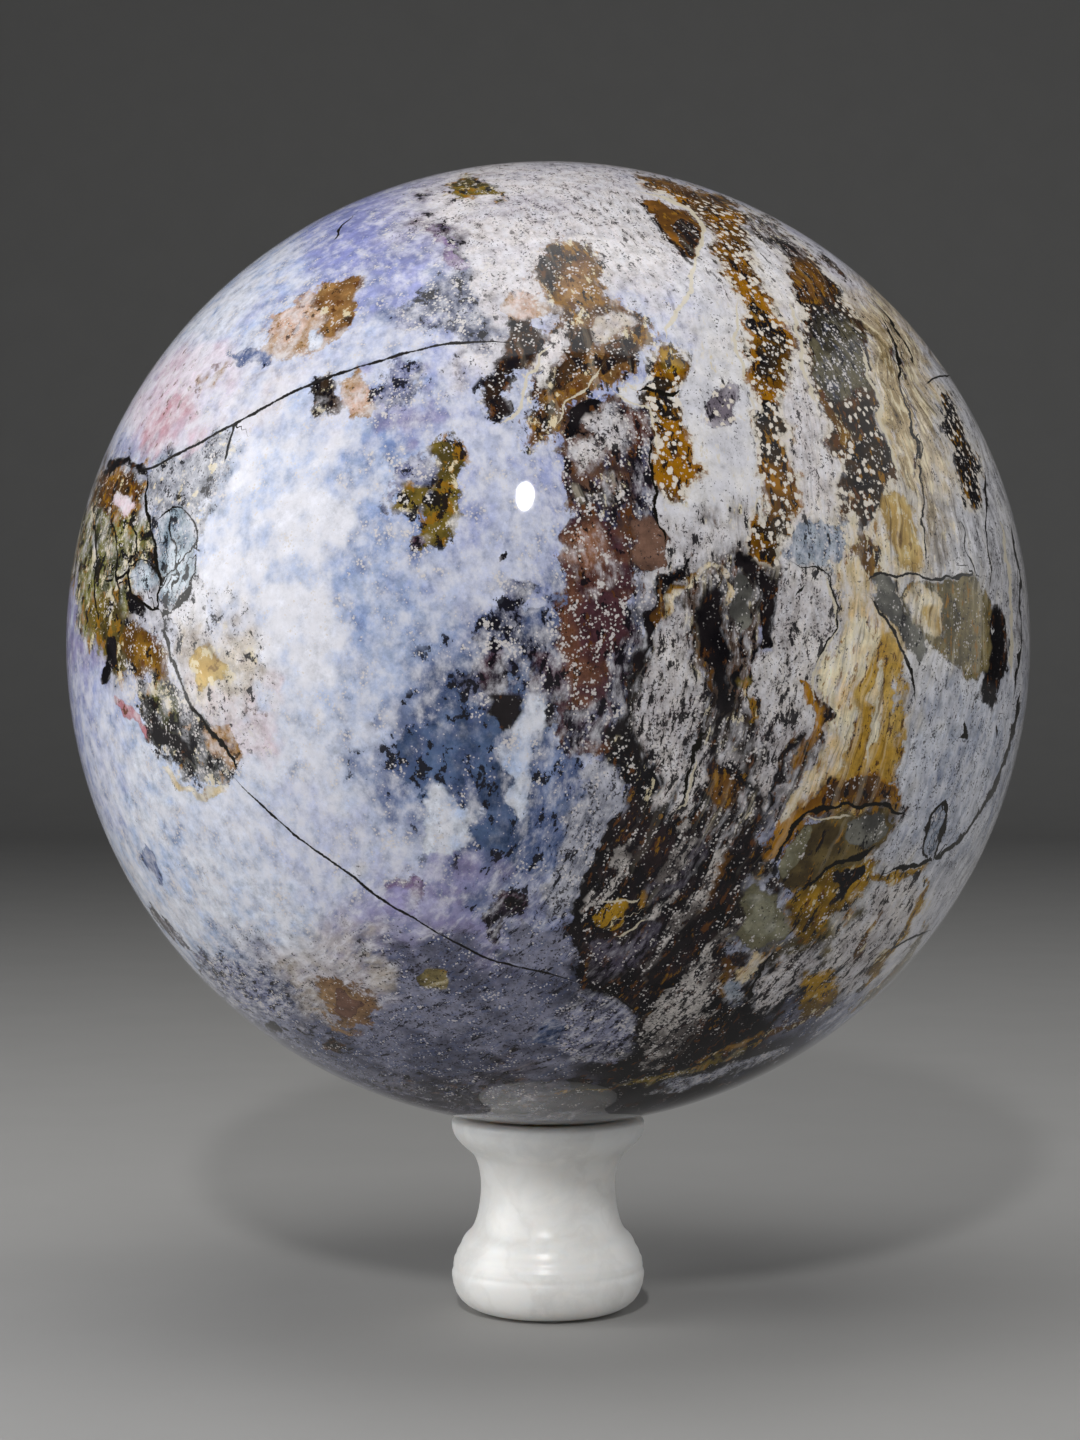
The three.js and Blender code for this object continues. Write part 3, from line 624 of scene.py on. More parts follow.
# Ribbons: streaks with a width in pixels, along points in photograph pixels, laid on the bodies
RIBBONS = {
    "maroon streak of the crown": (MAROON, 6, [(430, 218), (445, 238), (458, 252), (467, 264)]),
    "brown band at the upper limb": (RUST, 7, [(636, 174), (668, 184), (704, 194), (738, 208)]),
    "rust strip at the limb": (CHOCOLATE, 5, [(818, 250), (832, 264), (846, 282)]),
    "dark rim of the ginger lens": (CHOCOLATE, 5, [
        (634, 196), (648, 212), (660, 230), (672, 246), (686, 258), (699, 268)]),
    "brown edge of the beige strip": (UMBER, 4, [
        (878, 322), (894, 344), (904, 376), (910, 410), (918, 450), (920, 490)]),
    "cream edge of the beige strip": (CREAM, 6, [
        (870, 340), (874, 368), (876, 396), (884, 428), (896, 460), (904, 486)]),
    "black arch": (IRON_BLACK, 17, [
        (728, 546), (744, 560), (758, 581), (768, 606), (772, 632), (764, 650), (754, 662)]),
    "black vein of the heart": (IRON_BLACK, 18, [
        (686, 554), (676, 578), (662, 602), (646, 626), (632, 650), (622, 684), (618, 716), (626, 744),
        (640, 770)]),
    "inner streak of the heart": (IRON_BLACK, 8, [
        (746, 640), (739, 668), (731, 700), (723, 730), (717, 764)]),
    "brown streak of the heart": (RUST, 6, [(700, 610), (696, 640), (702, 668), (708, 700)]),
    "cream streak of the heart": (CREAM, 5, [(714, 560), (724, 580), (728, 604), (732, 630)]),
    "cream rib": (CREAM, 9, [(712, 556), (700, 572), (688, 588), (676, 604), (668, 616)]),
    "gold by the cream rib": (GOLD, 5, [(700, 566), (690, 582), (680, 596)]),
    "gold loop": (OLIVE_GOLD, 8, [(740, 684), (752, 690), (761, 703), (757, 717), (746, 722), (740, 708)]),
    "gold vein": (BURNT_GOLD, 11, [(802, 676), (815, 694), (820, 714), (812, 736), (800, 756), (790, 778)]),
    "dark side of the gold vein": (CHOCOLATE, 5, [
        (812, 682), (825, 700), (828, 720), (820, 742), (808, 764)]),
    "black slope": (IRON_BLACK, 8, [
        (802, 712), (795, 738), (786, 758), (776, 780), (768, 800), (766, 816)]),
    "gold of the slope": (GOLD, 5, [(794, 726), (784, 748), (776, 770)]),
    "cream streak of the slope": (CREAM, 8, [(822, 752), (812, 776), (798, 800), (784, 822)]),
    "black hood of the nest": (IRON_BLACK, 8, [(104, 474), (114, 459), (130, 461), (148, 474)]),
    "rose streak of the nest": (ROSE, 9, [(116, 692), (128, 708), (144, 726), (156, 746)]),
    "cream edge of the dark mass": (CREAM, 7, [(160, 770), (182, 786), (206, 796), (232, 790)]),
    "slate streak at the limb": (SLATE, 11, [(142, 848), (152, 866), (158, 884)]),
    "maroon strip at the limb": (MAROON, 6, [(150, 904), (166, 926), (190, 950)]),
    "black dash low at left": (IRON_BLACK, 5, [(268, 1022), (278, 1028), (292, 1030)]),
    "second black dash": (IRON_BLACK, 4, [(300, 1026), (314, 1033)]),
    "dark dash under the tan": (CHOCOLATE, 9, [(326, 1043), (338, 1046), (348, 1050)]),
    "brown drop of the heart": (MAROON, 11, [(503, 552), (508, 555)]),
    "gold line of the blades": (BRIGHT_GOLD, 9, [
        (930, 878), (916, 908), (898, 938), (878, 966), (858, 992)]),
    "second gold line of the blades": (GOLD, 6, [(884, 906), (868, 936), (852, 960)]),
    "outer gold line of the blades": (OLIVE_GOLD, 7, [(852, 1012), (880, 988), (908, 956), (926, 922)]),
    "pale line of the blades": (WHITE_AGATE, 10, [(938, 886), (920, 920), (900, 950), (880, 976)]),
    "gold under the dark crack": (BRIGHT_GOLD, 8, [(866, 884), (890, 880), (914, 874), (930, 866)]),
    "snow of the diagonal": (SNOW, 11, [
        (748, 812), (730, 850), (712, 884), (690, 914), (664, 944), (646, 976)]),
    "second snow of the diagonal": (SNOW, 12, [
        (742, 906), (722, 940), (700, 970), (676, 1000), (650, 1024)]),
    "third snow of the diagonal": (SNOW, 8, [(700, 868), (680, 894), (654, 922), (626, 952)]),
    "fourth snow of the diagonal": (SNOW, 9, [(640, 842), (620, 872), (600, 896), (584, 916)]),
    "fifth snow of the diagonal": (SNOW, 9, [(716, 1010), (690, 1036), (660, 1056), (640, 1068)]),
    "black of the diagonal": (IRON_BLACK, 12, [
        (612, 800), (618, 840), (604, 868), (586, 894), (570, 930), (574, 972)]),
    "second black of the diagonal": (IRON_BLACK, 10, [
        (760, 826), (742, 866), (722, 900), (696, 930), (664, 966), (640, 1000)]),
    "third black of the diagonal": (IRON_BLACK, 9, [
        (716, 820), (700, 852), (676, 884), (644, 916), (610, 942)]),
    "fourth black of the diagonal": (IRON_BLACK, 9, [
        (740, 962), (722, 996), (696, 1026), (664, 1050), (632, 1066)]),
    "rust of the diagonal": (RUST, 6, [(736, 858), (716, 890), (696, 914)]),
    "yellow streak low at right": (OLIVE_GOLD, 6, [(560, 1090), (640, 1084), (700, 1068), (760, 1040)]),
    "grey streak low at right": (GREY_PEPPER, 8, [(650, 1092), (720, 1074), (790, 1048)]),
    "black streak low at right": (IRON_BLACK, 9, [(600, 1070), (660, 1074), (720, 1056), (790, 1014)]),
    "second black streak low at right": (IRON_BLACK, 7, [(560, 1078), (600, 1086), (660, 1090)]),
    "gold streak low at right": (GOLD, 5, [(700, 1062), (740, 1044), (790, 1024), (830, 1006)]),
}

# Veins: dark or pale lines with a width in pixels, and among the pale ones a thin painted reflection at the
# right limb. Cracks are the healed fractures, thinner and cut in
DARK_VEINS = {
    "vein from the crack": (4, [(146, 474), (148, 500), (153, 530), (157, 560), (160, 590), (160, 612)]),
    "nest loop": (4, [(126, 572), (128, 592), (140, 606), (160, 613), (178, 604), (192, 582)]),
    "shard outline": (2, [
        (156, 522), (172, 508), (190, 513), (199, 534), (196, 564), (186, 590), (168, 609)]),
    "shard line": (2, [(174, 516), (168, 546), (176, 570), (172, 596)]),
    "second shard line": (2, [(196, 540), (182, 556), (170, 572), (160, 590)]),
    "heart outline": (2, [(128, 566), (142, 555), (157, 566), (160, 590)]),
    "olive line": (2, [(92, 516), (98, 548), (92, 584), (100, 620)]),
    "second olive line": (2, [(112, 520), (118, 546), (112, 578), (118, 606)]),
    "third olive line": (2, [(134, 524), (136, 546), (126, 564)]),
    "tail vein": (4, [(160, 612), (166, 640), (174, 664), (188, 694), (204, 722), (222, 748), (238, 770)]),
    "nest bar": (3, [(104, 580), (118, 578), (130, 570)]),
    "limb crack": (5, [
        (1022, 690), (1010, 740), (996, 786), (976, 820), (956, 846), (934, 862), (904, 868), (880, 878)]),
    "limb loop": (4, [(948, 796), (936, 808), (926, 828), (920, 846), (930, 862)]),
    "limb loop, outer": (4, [(946, 796), (948, 818), (940, 842), (934, 862)]),
    "bar of the orb band": (6, [(638, 390), (656, 394), (678, 392)]),
    "outline of the pebble": (4, [
        (868, 582), (880, 574), (896, 577), (912, 574), (926, 576), (950, 576), (980, 578)]),
    "underside of the pebble": (4, [(868, 600), (884, 616), (898, 650), (912, 672), (918, 700)]),
    "tongue line": (2.5, [
        (790, 562), (806, 566), (822, 566), (832, 586), (836, 612), (826, 640), (814, 664)]),
    "brown line of the beige": (2.5, [
        (880, 316), (894, 340), (902, 366), (900, 400), (912, 436), (922, 470)]),
    "second brown line of the beige": (2, [(868, 296), (884, 312), (900, 336), (914, 364)]),
    "limb hairline": (2, [(918, 430), (924, 470), (922, 510), (926, 560)]),
    "second limb hairline": (2, [(960, 520), (968, 550), (976, 580)]),
    "third limb hairline": (2, [(984, 470), (988, 530), (990, 590)]),
    "outer limb line": (2, [(1010, 520), (1020, 580), (1021, 640), (1014, 700)]),
    "tooth line": (5, [(712, 728), (700, 750), (690, 772), (682, 800)]),
    "wedge outline": (3, [(746, 1002), (756, 976), (770, 962), (776, 950)]),
    "edge of the smoky lens": (5, [
        (774, 868), (782, 842), (796, 820), (818, 806), (850, 802), (880, 804), (906, 816)]),
    "underside of the smoky lens": (5, [(800, 890), (824, 878), (846, 860), (860, 852), (876, 842)]),
    "chin of the tongue": (3, [(800, 590), (806, 582)]),
    "squiggle at right": (3, [(966, 718), (968, 732), (962, 738)]),
    "second squiggle at right": (3, [(998, 724), (996, 738)]),
    "scratch on the shoulder": (2, [(334, 238), (342, 226), (352, 216)]),
    "edge of the hood": (4, [(650, 448), (658, 480), (662, 515), (666, 545)]),
}
PALE_VEINS_AND_REFLECTION = {
    "cream line of the lens": (5, [
        (640, 192), (676, 200), (696, 216), (703, 244), (696, 270), (688, 296), (672, 320), (660, 340)]),
    "cream edge of the third orb band": (4, [(862, 350), (868, 380), (876, 404), (886, 440), (898, 470)]),
    "cream line between the bands": (4, [(790, 300), (796, 330), (800, 360), (806, 384), (818, 408)]),
    "cream line left of the second band": (3, [(736, 300), (734, 330), (738, 358), (746, 384)]),
    "cream line of the tongue": (4, [
        (822, 572), (832, 596), (834, 620), (824, 648), (812, 676), (816, 700)]),
    "cream fold": (4, [(548, 344), (538, 364), (528, 386), (522, 408), (506, 424)]),
    "second cream fold": (3, [(600, 366), (586, 384), (566, 400), (556, 424)]),
    "rim of the white triangle": (3, [(612, 398), (632, 404), (646, 412), (654, 436), (660, 462)]),
    "cream line of the streaks": (3, [(880, 690), (874, 730), (872, 770)]),
    "grey lens line": (3, [(808, 816), (830, 818), (852, 816)]),
    "pale line of the diagonal": (3, [(618, 934), (634, 926), (648, 920)]),
    "pale line at the foot": (3, [(600, 900), (622, 902), (640, 896)]),
    # Painted reflection: a thin pale line down the right limb that stands for a lamp's reflection, not a vein
    "painted reflection at the right limb": (4, [(1000, 520), (1012, 600), (1012, 680)]),
    "snow seam": (4, [(700, 760), (690, 790), (676, 812)]),
}
CRACKS = {
    "long crack": (3.2, [
        (118, 462), (146, 473), (180, 452), (233, 425), (276, 400), (320, 381), (362, 367), (400, 354),
        (440, 345), (480, 341), (520, 343)]),
    "branch of the long crack": (2.4, [(235, 424), (230, 440), (224, 462)]),
    "second crack": (2.4, [
        (232, 776), (256, 800), (286, 828), (318, 852), (346, 872), (378, 898), (410, 916), (446, 938),
        (480, 956), (514, 966), (550, 974), (584, 984)]),
    "tail of the second crack": (2.2, [(600, 984), (616, 996), (636, 1012)]),
    "short crack at the right limb": (2.4, [(926, 384), (936, 376), (950, 376)]),
    "crack at the lower right limb": (2.2, [(890, 950), (910, 938), (930, 930)]),
}

# The lie of the strata: lines that a streak follows, each with its place across the strata in millimetres
STRATA = {
    0: [(110, 420), (80, 600), (110, 800), (200, 960)],
    6: [(220, 320), (170, 480), (190, 620), (240, 780), (320, 940)],
    11: [(330, 250), (310, 420), (350, 580), (380, 720), (400, 820), (370, 890)],
    17: [(430, 210), (450, 340), (480, 470), (520, 620), (510, 760), (500, 850), (430, 930), (350, 945)],
    28: [
        (520, 190), (560, 300), (570, 420), (600, 520), (620, 620), (610, 720), (580, 820), (530, 905),
        (440, 968), (350, 985)],
    46: [
        (600, 180), (660, 280), (680, 400), (700, 520), (690, 640), (670, 760), (620, 860), (560, 950),
        (460, 1012), (380, 1030)],
    66: [
        (650, 176), (730, 260), (760, 380), (780, 500), (770, 620), (760, 720), (720, 820), (650, 930),
        (570, 1010), (470, 1052), (400, 1062)],
    86: [
        (700, 190), (800, 290), (840, 420), (860, 540), (850, 660), (820, 770), (760, 880), (690, 980),
        (600, 1058), (500, 1090)],
    104: [(780, 230), (880, 350), (920, 480), (930, 600), (900, 720), (870, 820), (800, 940), (700, 1050)],
    122: [(870, 300), (950, 420), (990, 560), (990, 700), (950, 820), (880, 940), (780, 1040)],
    136: [(930, 360), (1000, 480), (1025, 620), (1015, 740), (960, 880), (880, 980)],
}

# The figure's noise: its seed, which keeps every run the same, the sizes of its lumps in millimetres, the
# shifts that part them, and how far they sway the drawn outlines and the soft grounds, in pixels
FIGURE_SEED = 3
BROAD, MIDDLING, CLOSE, NARROW = 45, 14, 5.5, 2.6
LUMP_SHIFTS = {BROAD: 3, MIDDLING: 5, CLOSE: 7, NARROW: 9}
OUTLINE_SWAY = {MIDDLING: 14, CLOSE: 12, NARROW: 6}
GROUND_SWAY = {BROAD: 20, MIDDLING: 55, CLOSE: 34, NARROW: 22}

# Towards the sphere's outline the sway shrinks as the surface turns away, but not below the least share
FACING_START = 0.12
FACING_LEAST = 0.22

# How the figure goes on behind the sphere's outline: seen from the front, it turns about the middle as it
# goes back, by this many radians in all, and sways by this many pixels
BACK_TURN = 2.3
BACK_SWAY_PIXELS = 34

# How far from a shape it still counts, and the depth that stands for well outside every shape
REACH_PIXELS = 45
OUTSIDE = -4

# A ragged edge's width: a share of the shape's half width, within limits in pixels
EDGE_SHARE = 0.42
EDGE_LEAST = 2.5
EDGE_MOST = 8

# How much of its width a ribbon keeps at its tips, and how quickly ribbons and veins widen from there
RIBBON_TIP = 0.35
RIBBON_WIDENING = 5
VEIN_WIDENING = 7


def linear(hex_colour):
    """A colour written as 0xRRGGBB, as linear red, green and blue."""
    channels = [(hex_colour >> shift & 255) / 255 for shift in (16, 8, 0)]
    return [c / 12.92 if c <= 0.04045 else ((c + 0.055) / 1.055) ** 2.4 for c in channels]


def smooth(value):
    """0 below 0, 1 above 1, and an even rise between."""
    value = np.clip(value, 0, 1)
    return value * value * (3 - 2 * value)


# Drawing the figure on the sphere
class Figure:
    """Where each point of the sphere shows in the photograph, and what the stone is there."""

    def __init__(self, points, centre, radius):
        self.points = points / MILLIMETRE
        normals = (points - centre) / radius
        to_eye = np.array(EYE) - centre
        distance = np.linalg.norm(to_eye)
        toward = normals @ (to_eye / distance)
        limb = radius / distance
        hidden = np.clip((limb - toward) / (1 + limb), 0, 1)
        self.facing = np.clip(np.abs(toward - limb) + FACING_START, FACING_LEAST, 1)
        seen = self.seen(points)
        middle = self.seen(np.array([centre]))[0]
        offset = seen - middle
        turn = BACK_TURN * smooth(hidden)
        turned = np.stack([
            offset[:, 0] * np.cos(turn) - offset[:, 1] * np.sin(turn),
            offset[:, 0] * np.sin(turn) + offset[:, 1] * np.cos(turn)], axis=1)
        lumps = {size: self.lumps(size, shift) for size, shift in LUMP_SHIFTS.items()}
        self.variety = lumps[MIDDLING][:, 2] + 0.7 * lumps[CLOSE][:, 2] + 0.5 * lumps[NARROW][:, 2]
        back_sway = lumps[BROAD][:, :2] * 2 * BACK_SWAY_PIXELS
        self.straight = middle + turned + back_sway * smooth(4 * hidden)[:, None]
        self.places = self.straight + self.swayed(lumps, OUTLINE_SWAY)
        self.wander = self.straight + self.swayed(lumps, GROUND_SWAY)
        self.layers = []

    def swayed(self, lumps, pixels):
        """How far each point is moved, in pixels, by the lumps of each size."""
        return self.facing[:, None] * sum(lumps[size][:, :2] * reach for size, reach in pixels.items())

    @staticmethod
    def seen(points):
        """The photograph's column and row of each point."""
        depth = points[:, 1] - EYE.y
        column = PHOTO_WIDTH / 2 + FOCAL_LENGTH_PIXELS * (points[:, 0] - EYE.x) / depth
        row = PHOTO_HEIGHT / 2 - FOCAL_LENGTH_PIXELS * (points[:, 2] - EYE.z) / depth
        return np.stack([column, row], axis=1)

    def lumps(self, size, shift):
        """Three smooth random numbers at each point, from about -0.6 to 0.6, in lumps of size millimetres."""
        return np.array([noise.noise_vector(place) for place in (self.points / size + shift).tolist()])

    def near(self, outline, reach):
        """The points whose place is within reach of an outline's box."""
        lowest = outline.min(0) - reach
        highest = outline.max(0) + reach
        return np.flatnonzero(((self.places > lowest) & (self.places < highest)).all(1))

    def colour_of(self, stone, which):
        """A stone's two colours, mixed in soft patches."""
        share = smooth(0.5 + 1.6 * self.variety[which])[:, None]
        return np.array(linear(stone.colour)) * (1 - share) + np.array(linear(stone.other)) * share

    def mix_amounts(self, stone, which, share):
        """Moves what the stone holds at some points towards a stone's amounts, by a share."""
        self.amounts[which] += (np.array(stone[3:], float) - self.amounts[which]) * share[:, None]

    def paint_grounds(self):
        """The broad grounds: each stone's colour and amounts, blended softly."""
        everywhere = np.arange(len(self.places))
        self.ground = self.colour_of(LAVENDER, everywhere)
        self.amounts = np.tile(np.array(LAVENDER[3:], float), (len(self.places), 1))
        for stone, middle, halves, degrees, strength in GROUNDS.values():
            turn = math.radians(degrees)
            x, y = (self.wander - middle).T
            along = (x * math.cos(turn) + y * math.sin(turn)) / halves[0]
            across = (y * math.cos(turn) - x * math.sin(turn)) / halves[1]
            # Full to 0.7 of the half width, and gone at 1.46 of it
            share = strength * smooth(1.9 - 1.3 * np.hypot(along, across))
            which = np.flatnonzero(share)
            share = share[which]
            self.ground[which] += (self.colour_of(stone, which) - self.ground[which]) * share[:, None]
            self.mix_amounts(stone, which, share)

    def paint_layer(self, shapes):
        """A crisp layer: each point's depth in its shapes, in widths of their ragged edge, and its colour."""
        depth = np.full(len(self.places), float(OUTSIDE))
        colour = np.tile(linear(LAVENDER.colour), (len(self.places), 1))
        for stone, outline, width in shapes:
            closed = width == 0
            outline = rounded(np.array(outline, float), closed)
            which = self.near(outline, REACH_PIXELS)
            if len(which) == 0:
                continue
            if closed:
                inside = polygon_depth(self.places[which], outline)
            else:
                distance, _, along = line_distance(self.places[which], outline)
                widening = smooth(RIBBON_WIDENING * np.minimum(along, 1 - along))
                inside = width / 2 * (RIBBON_TIP + (1 - RIBBON_TIP) * widening) - distance
            ragged = stone.ragged * np.clip(EDGE_SHARE * inside.max(), EDGE_LEAST, EDGE_MOST)
            here = np.clip(inside / ragged, OUTSIDE, -OUTSIDE)
            wins = (here > depth[which]) | (here > 0)
            colour[which[wins]] = self.colour_of(stone, which[wins])
            depth[which] = np.maximum(depth[which], here)
            self.mix_amounts(stone, which, smooth(here * 0.5 + 0.6))
        self.layers.append((depth, colour))

    def paint_lines(self, lines, sway):
        """Thin lines: the signed distance across the nearest one and its half width there, in millimetres."""
        count = len(self.places)
        reach = REACH_PIXELS * MILLIMETRES_PER_PIXEL
        nearest = np.full(count, 1e3)
        offset = np.full(count, reach)
        half = np.full(count, -1.0)
        places = self.straight + sway * (self.places - self.straight)
        for width, points in lines.values():
            line = rounded(np.array(points, float), False)
            which = self.near(line, REACH_PIXELS)
            if len(which) == 0:
                continue
            distance, side, along = line_distance(places[which], line)
            taper = smooth(np.minimum(along, 1 - along) * VEIN_WIDENING + 0.15)
            half_here = width / 2 * taper - np.maximum(0, distance - 14) * 0.3
            closer = distance < nearest[which]
            chosen = which[closer]
            nearest[chosen] = distance[closer]
            size = MILLIMETRES_PER_PIXEL / self.facing[chosen]
            offset[chosen] = (distance * side)[closer] * size
            half[chosen] = half_here[closer] * size
        return np.stack([offset, half, np.zeros(count)], axis=1)

    def strata(self):
        """The place across the strata, in millimetres, spread smoothly between the lines that are drawn."""
        knots = np.array([point for line in STRATA.values() for point in line], float)
        heights = np.array([value for value, line in STRATA.items() for _ in line], float)
        gaps = np.linalg.norm(knots[:, None] - knots[None], axis=2)
        weights = np.linalg.solve(gaps + 1e-3 * np.eye(len(knots)), heights - heights.mean())
        result = np.full(len(self.places), heights.mean())
        places = self.straight + 0.35 * (self.places - self.straight)
        for knot, weight in zip(knots, weights):
            result += weight * np.linalg.norm(places - knot, axis=1)
        return result


def rounded(points, closed):
    """An outline or line with its corners cut off twice, so that it runs smoothly."""
    for _ in range(2):
        following = np.roll(points, -1, axis=0) if closed else points[1:]
        starts = points if closed else points[:-1]
        cut = np.empty((2 * len(starts), 2))
        cut[0::2] = 0.75 * starts + 0.25 * following
        cut[1::2] = 0.25 * starts + 0.75 * following
        points = cut if closed else np.vstack([points[:1], cut, points[-1:]])
    return points


def line_distance(places, line):
    """For each place: its distance to a line, on which side it is, and how far along, from 0 to 1."""
    starts = line[:-1]
    steps = line[1:] - starts
    lengths = np.linalg.norm(steps, axis=1)
    travelled = np.concatenate([[0], np.cumsum(lengths)])
    best = np.full(len(places), np.inf)
    side = np.ones(len(places))
    along = np.zeros(len(places))
    for index, (start, step, length) in enumerate(zip(starts, steps, lengths)):
        if length == 0:
            continue
        offset = places - start
        share = np.clip(offset @ step / length ** 2, 0, 1)
        distance = np.linalg.norm(offset - share[:, None] * step, axis=1)
        closer = distance < best
        best[closer] = distance[closer]
        side[closer] = np.sign(step[0] * offset[closer, 1] - step[1] * offset[closer, 0])
        along[closer] = (travelled[index] + share[closer] * length) / travelled[-1]
    return best, side, along


def polygon_depth(places, outline):
    """For each place, its distance to a closed outline, positive inside it."""
    closed = np.vstack([outline, outline[:1]])
    distance = line_distance(places, closed)[0]
    inside = np.zeros(len(places), bool)
    for (x0, y0), (x1, y1) in zip(closed[:-1], closed[1:]):
        if y0 == y1:
            continue
        crosses = (places[:, 1] < y0) != (places[:, 1] < y1)
        inside ^= crosses & (places[:, 0] < x0 + (places[:, 1] - y0) * (x1 - x0) / (y1 - y0))
    return np.where(inside, distance, -distance)


def store(mesh, name, vectors):
    """Keeps three numbers a vertex on the mesh, for its material to read."""
    attribute = mesh.attributes.new(name, "FLOAT_VECTOR", "POINT")
    attribute.data.foreach_set("vector", np.ascontiguousarray(vectors, np.float32).ravel())


def draw_figure(piece, centre, radius):
    """Draws the stone's figure on the sphere's mesh."""
    mesh = piece.data
    points = np.empty(len(mesh.vertices) * 3)
    mesh.vertices.foreach_get("co", points)
    noise.seed_set(FIGURE_SEED)
    figure = Figure(points.reshape(-1, 3), np.array(centre), radius)
    figure.paint_grounds()
    bodies = [(stone, outline, 0) for stone, outline in BODIES.values()]
    ribbons = [(stone, line, width) for stone, width, line in RIBBONS.values()]
    inlays = [(stone, outline, 0) for stone, outline in INLAYS.values()]
    for shapes in (bodies, ribbons, inlays):
        figure.paint_layer(shapes)
    black, rust, slate, white, gold, cream, specks, frost, streaks, dots, rim = figure.amounts.T
    store(mesh, "ground", figure.ground)
    store(mesh, "dark_flecks", np.stack([black, rust, slate], axis=1))
    store(mesh, "light_flecks", np.stack([white, gold, cream], axis=1))
    store(mesh, "grain", np.stack([specks, frost, streaks], axis=1))
    store(mesh, "pattern", np.stack([dots, rim, figure.strata()], axis=1))
    store(mesh, "depths", np.stack([depth for depth, _ in figure.layers], axis=1))
    for number, (_, colour) in enumerate(figure.layers):
        store(mesh, f"layer_{number}", colour)
    store(mesh, "dark_veins", figure.paint_lines(DARK_VEINS, 0.6))
    store(mesh, "pale_veins_and_reflection", figure.paint_lines(PALE_VEINS_AND_REFLECTION, 0.6))
    store(mesh, "cracks", figure.paint_lines(CRACKS, 0.1))


# Modelling
def begin():
    """Leaves nothing selected, in object mode."""
    if bpy.context.object and bpy.context.object.mode != "OBJECT":
        bpy.ops.object.mode_set(mode="OBJECT")
    bpy.ops.object.select_all(action="DESELECT")


def settle(piece, name, material, node):
    """Names a finished piece, puts its place into its mesh, and has it stand for its CAD node."""
    piece.name = name
    piece.data.name = name
    bpy.ops.object.transform_apply(location=True, rotation=True, scale=True)
    bpy.ops.object.shade_smooth()
    piece.data.materials.clear()
    piece.data.materials.append(material)
    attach(piece, "root")
    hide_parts(node)


def select_faces(piece, chosen):
    """Selects the faces for which chosen(face normal) holds, and goes into edit mode."""
    mesh = piece.data
    mesh.polygons.foreach_set("select", [bool(chosen(p.normal)) for p in mesh.polygons])
    bpy.ops.object.mode_set(mode="EDIT")


def select_edges(piece, chosen):
    """Selects the edges whose ends are both chosen, given true or false for each vertex, in edit mode."""
    mesh = piece.data
    mesh.polygons.foreach_set("select", [False] * len(mesh.polygons))
    mesh.vertices.foreach_set("select", chosen)
    mesh.edges.foreach_set("select", [all(chosen[v] for v in e.vertices) for e in mesh.edges])
    bpy.ops.object.mode_set(mode="EDIT")
    bpy.ops.mesh.select_mode(type="EDGE")


def make_sphere(material):
    """The ball: rounded from a faceted one, finer where its figure is drawn closest."""
    low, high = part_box("sphere")
    centre = (low + high) / 2
    radius = (high.x - low.x) / 2
    begin()
    bpy.ops.mesh.primitive_ico_sphere_add(subdivisions=SPHERE_ROUNDINGS, radius=radius, location=centre)
    ball = bpy.context.object
    bpy.ops.object.mode_set(mode="EDIT")
    bpy.ops.mesh.select_mode(type="FACE")
    bpy.ops.mesh.select_all(action="DESELECT")
    bpy.ops.object.mode_set(mode="OBJECT")
    to_eye = (EYE - centre).normalized()
    limb = radius / (EYE - centre).length
    select_faces(ball, lambda normal: normal.dot(to_eye) > limb)
    bpy.ops.mesh.subdivide(number_cuts=1)
    bpy.ops.object.mode_set(mode="OBJECT")
    rounding = ball.modifiers.new("rounding", "CAST")
    rounding.cast_type = "SPHERE"
    rounding.factor = 1
    rounding.size = radius
    bpy.ops.object.modifier_apply(modifier=rounding.name)
    settle(ball, "jasper_sphere", material, "sphere")
    draw_figure(ball, centre, radius)
    return ball


def curve_points(*controls):
    """Points along a Bezier curve of any degree, without its first."""
    points = []
    for step in range(1, STAND_CURVE_STEPS + 1):
        share = step / STAND_CURVE_STEPS
        level = [Vector(c) for c in controls]
        while len(level) > 1:
            level = [a.lerp(b, share) for a, b in zip(level, level[1:])]
        points.append(tuple(level[0]))
    return points


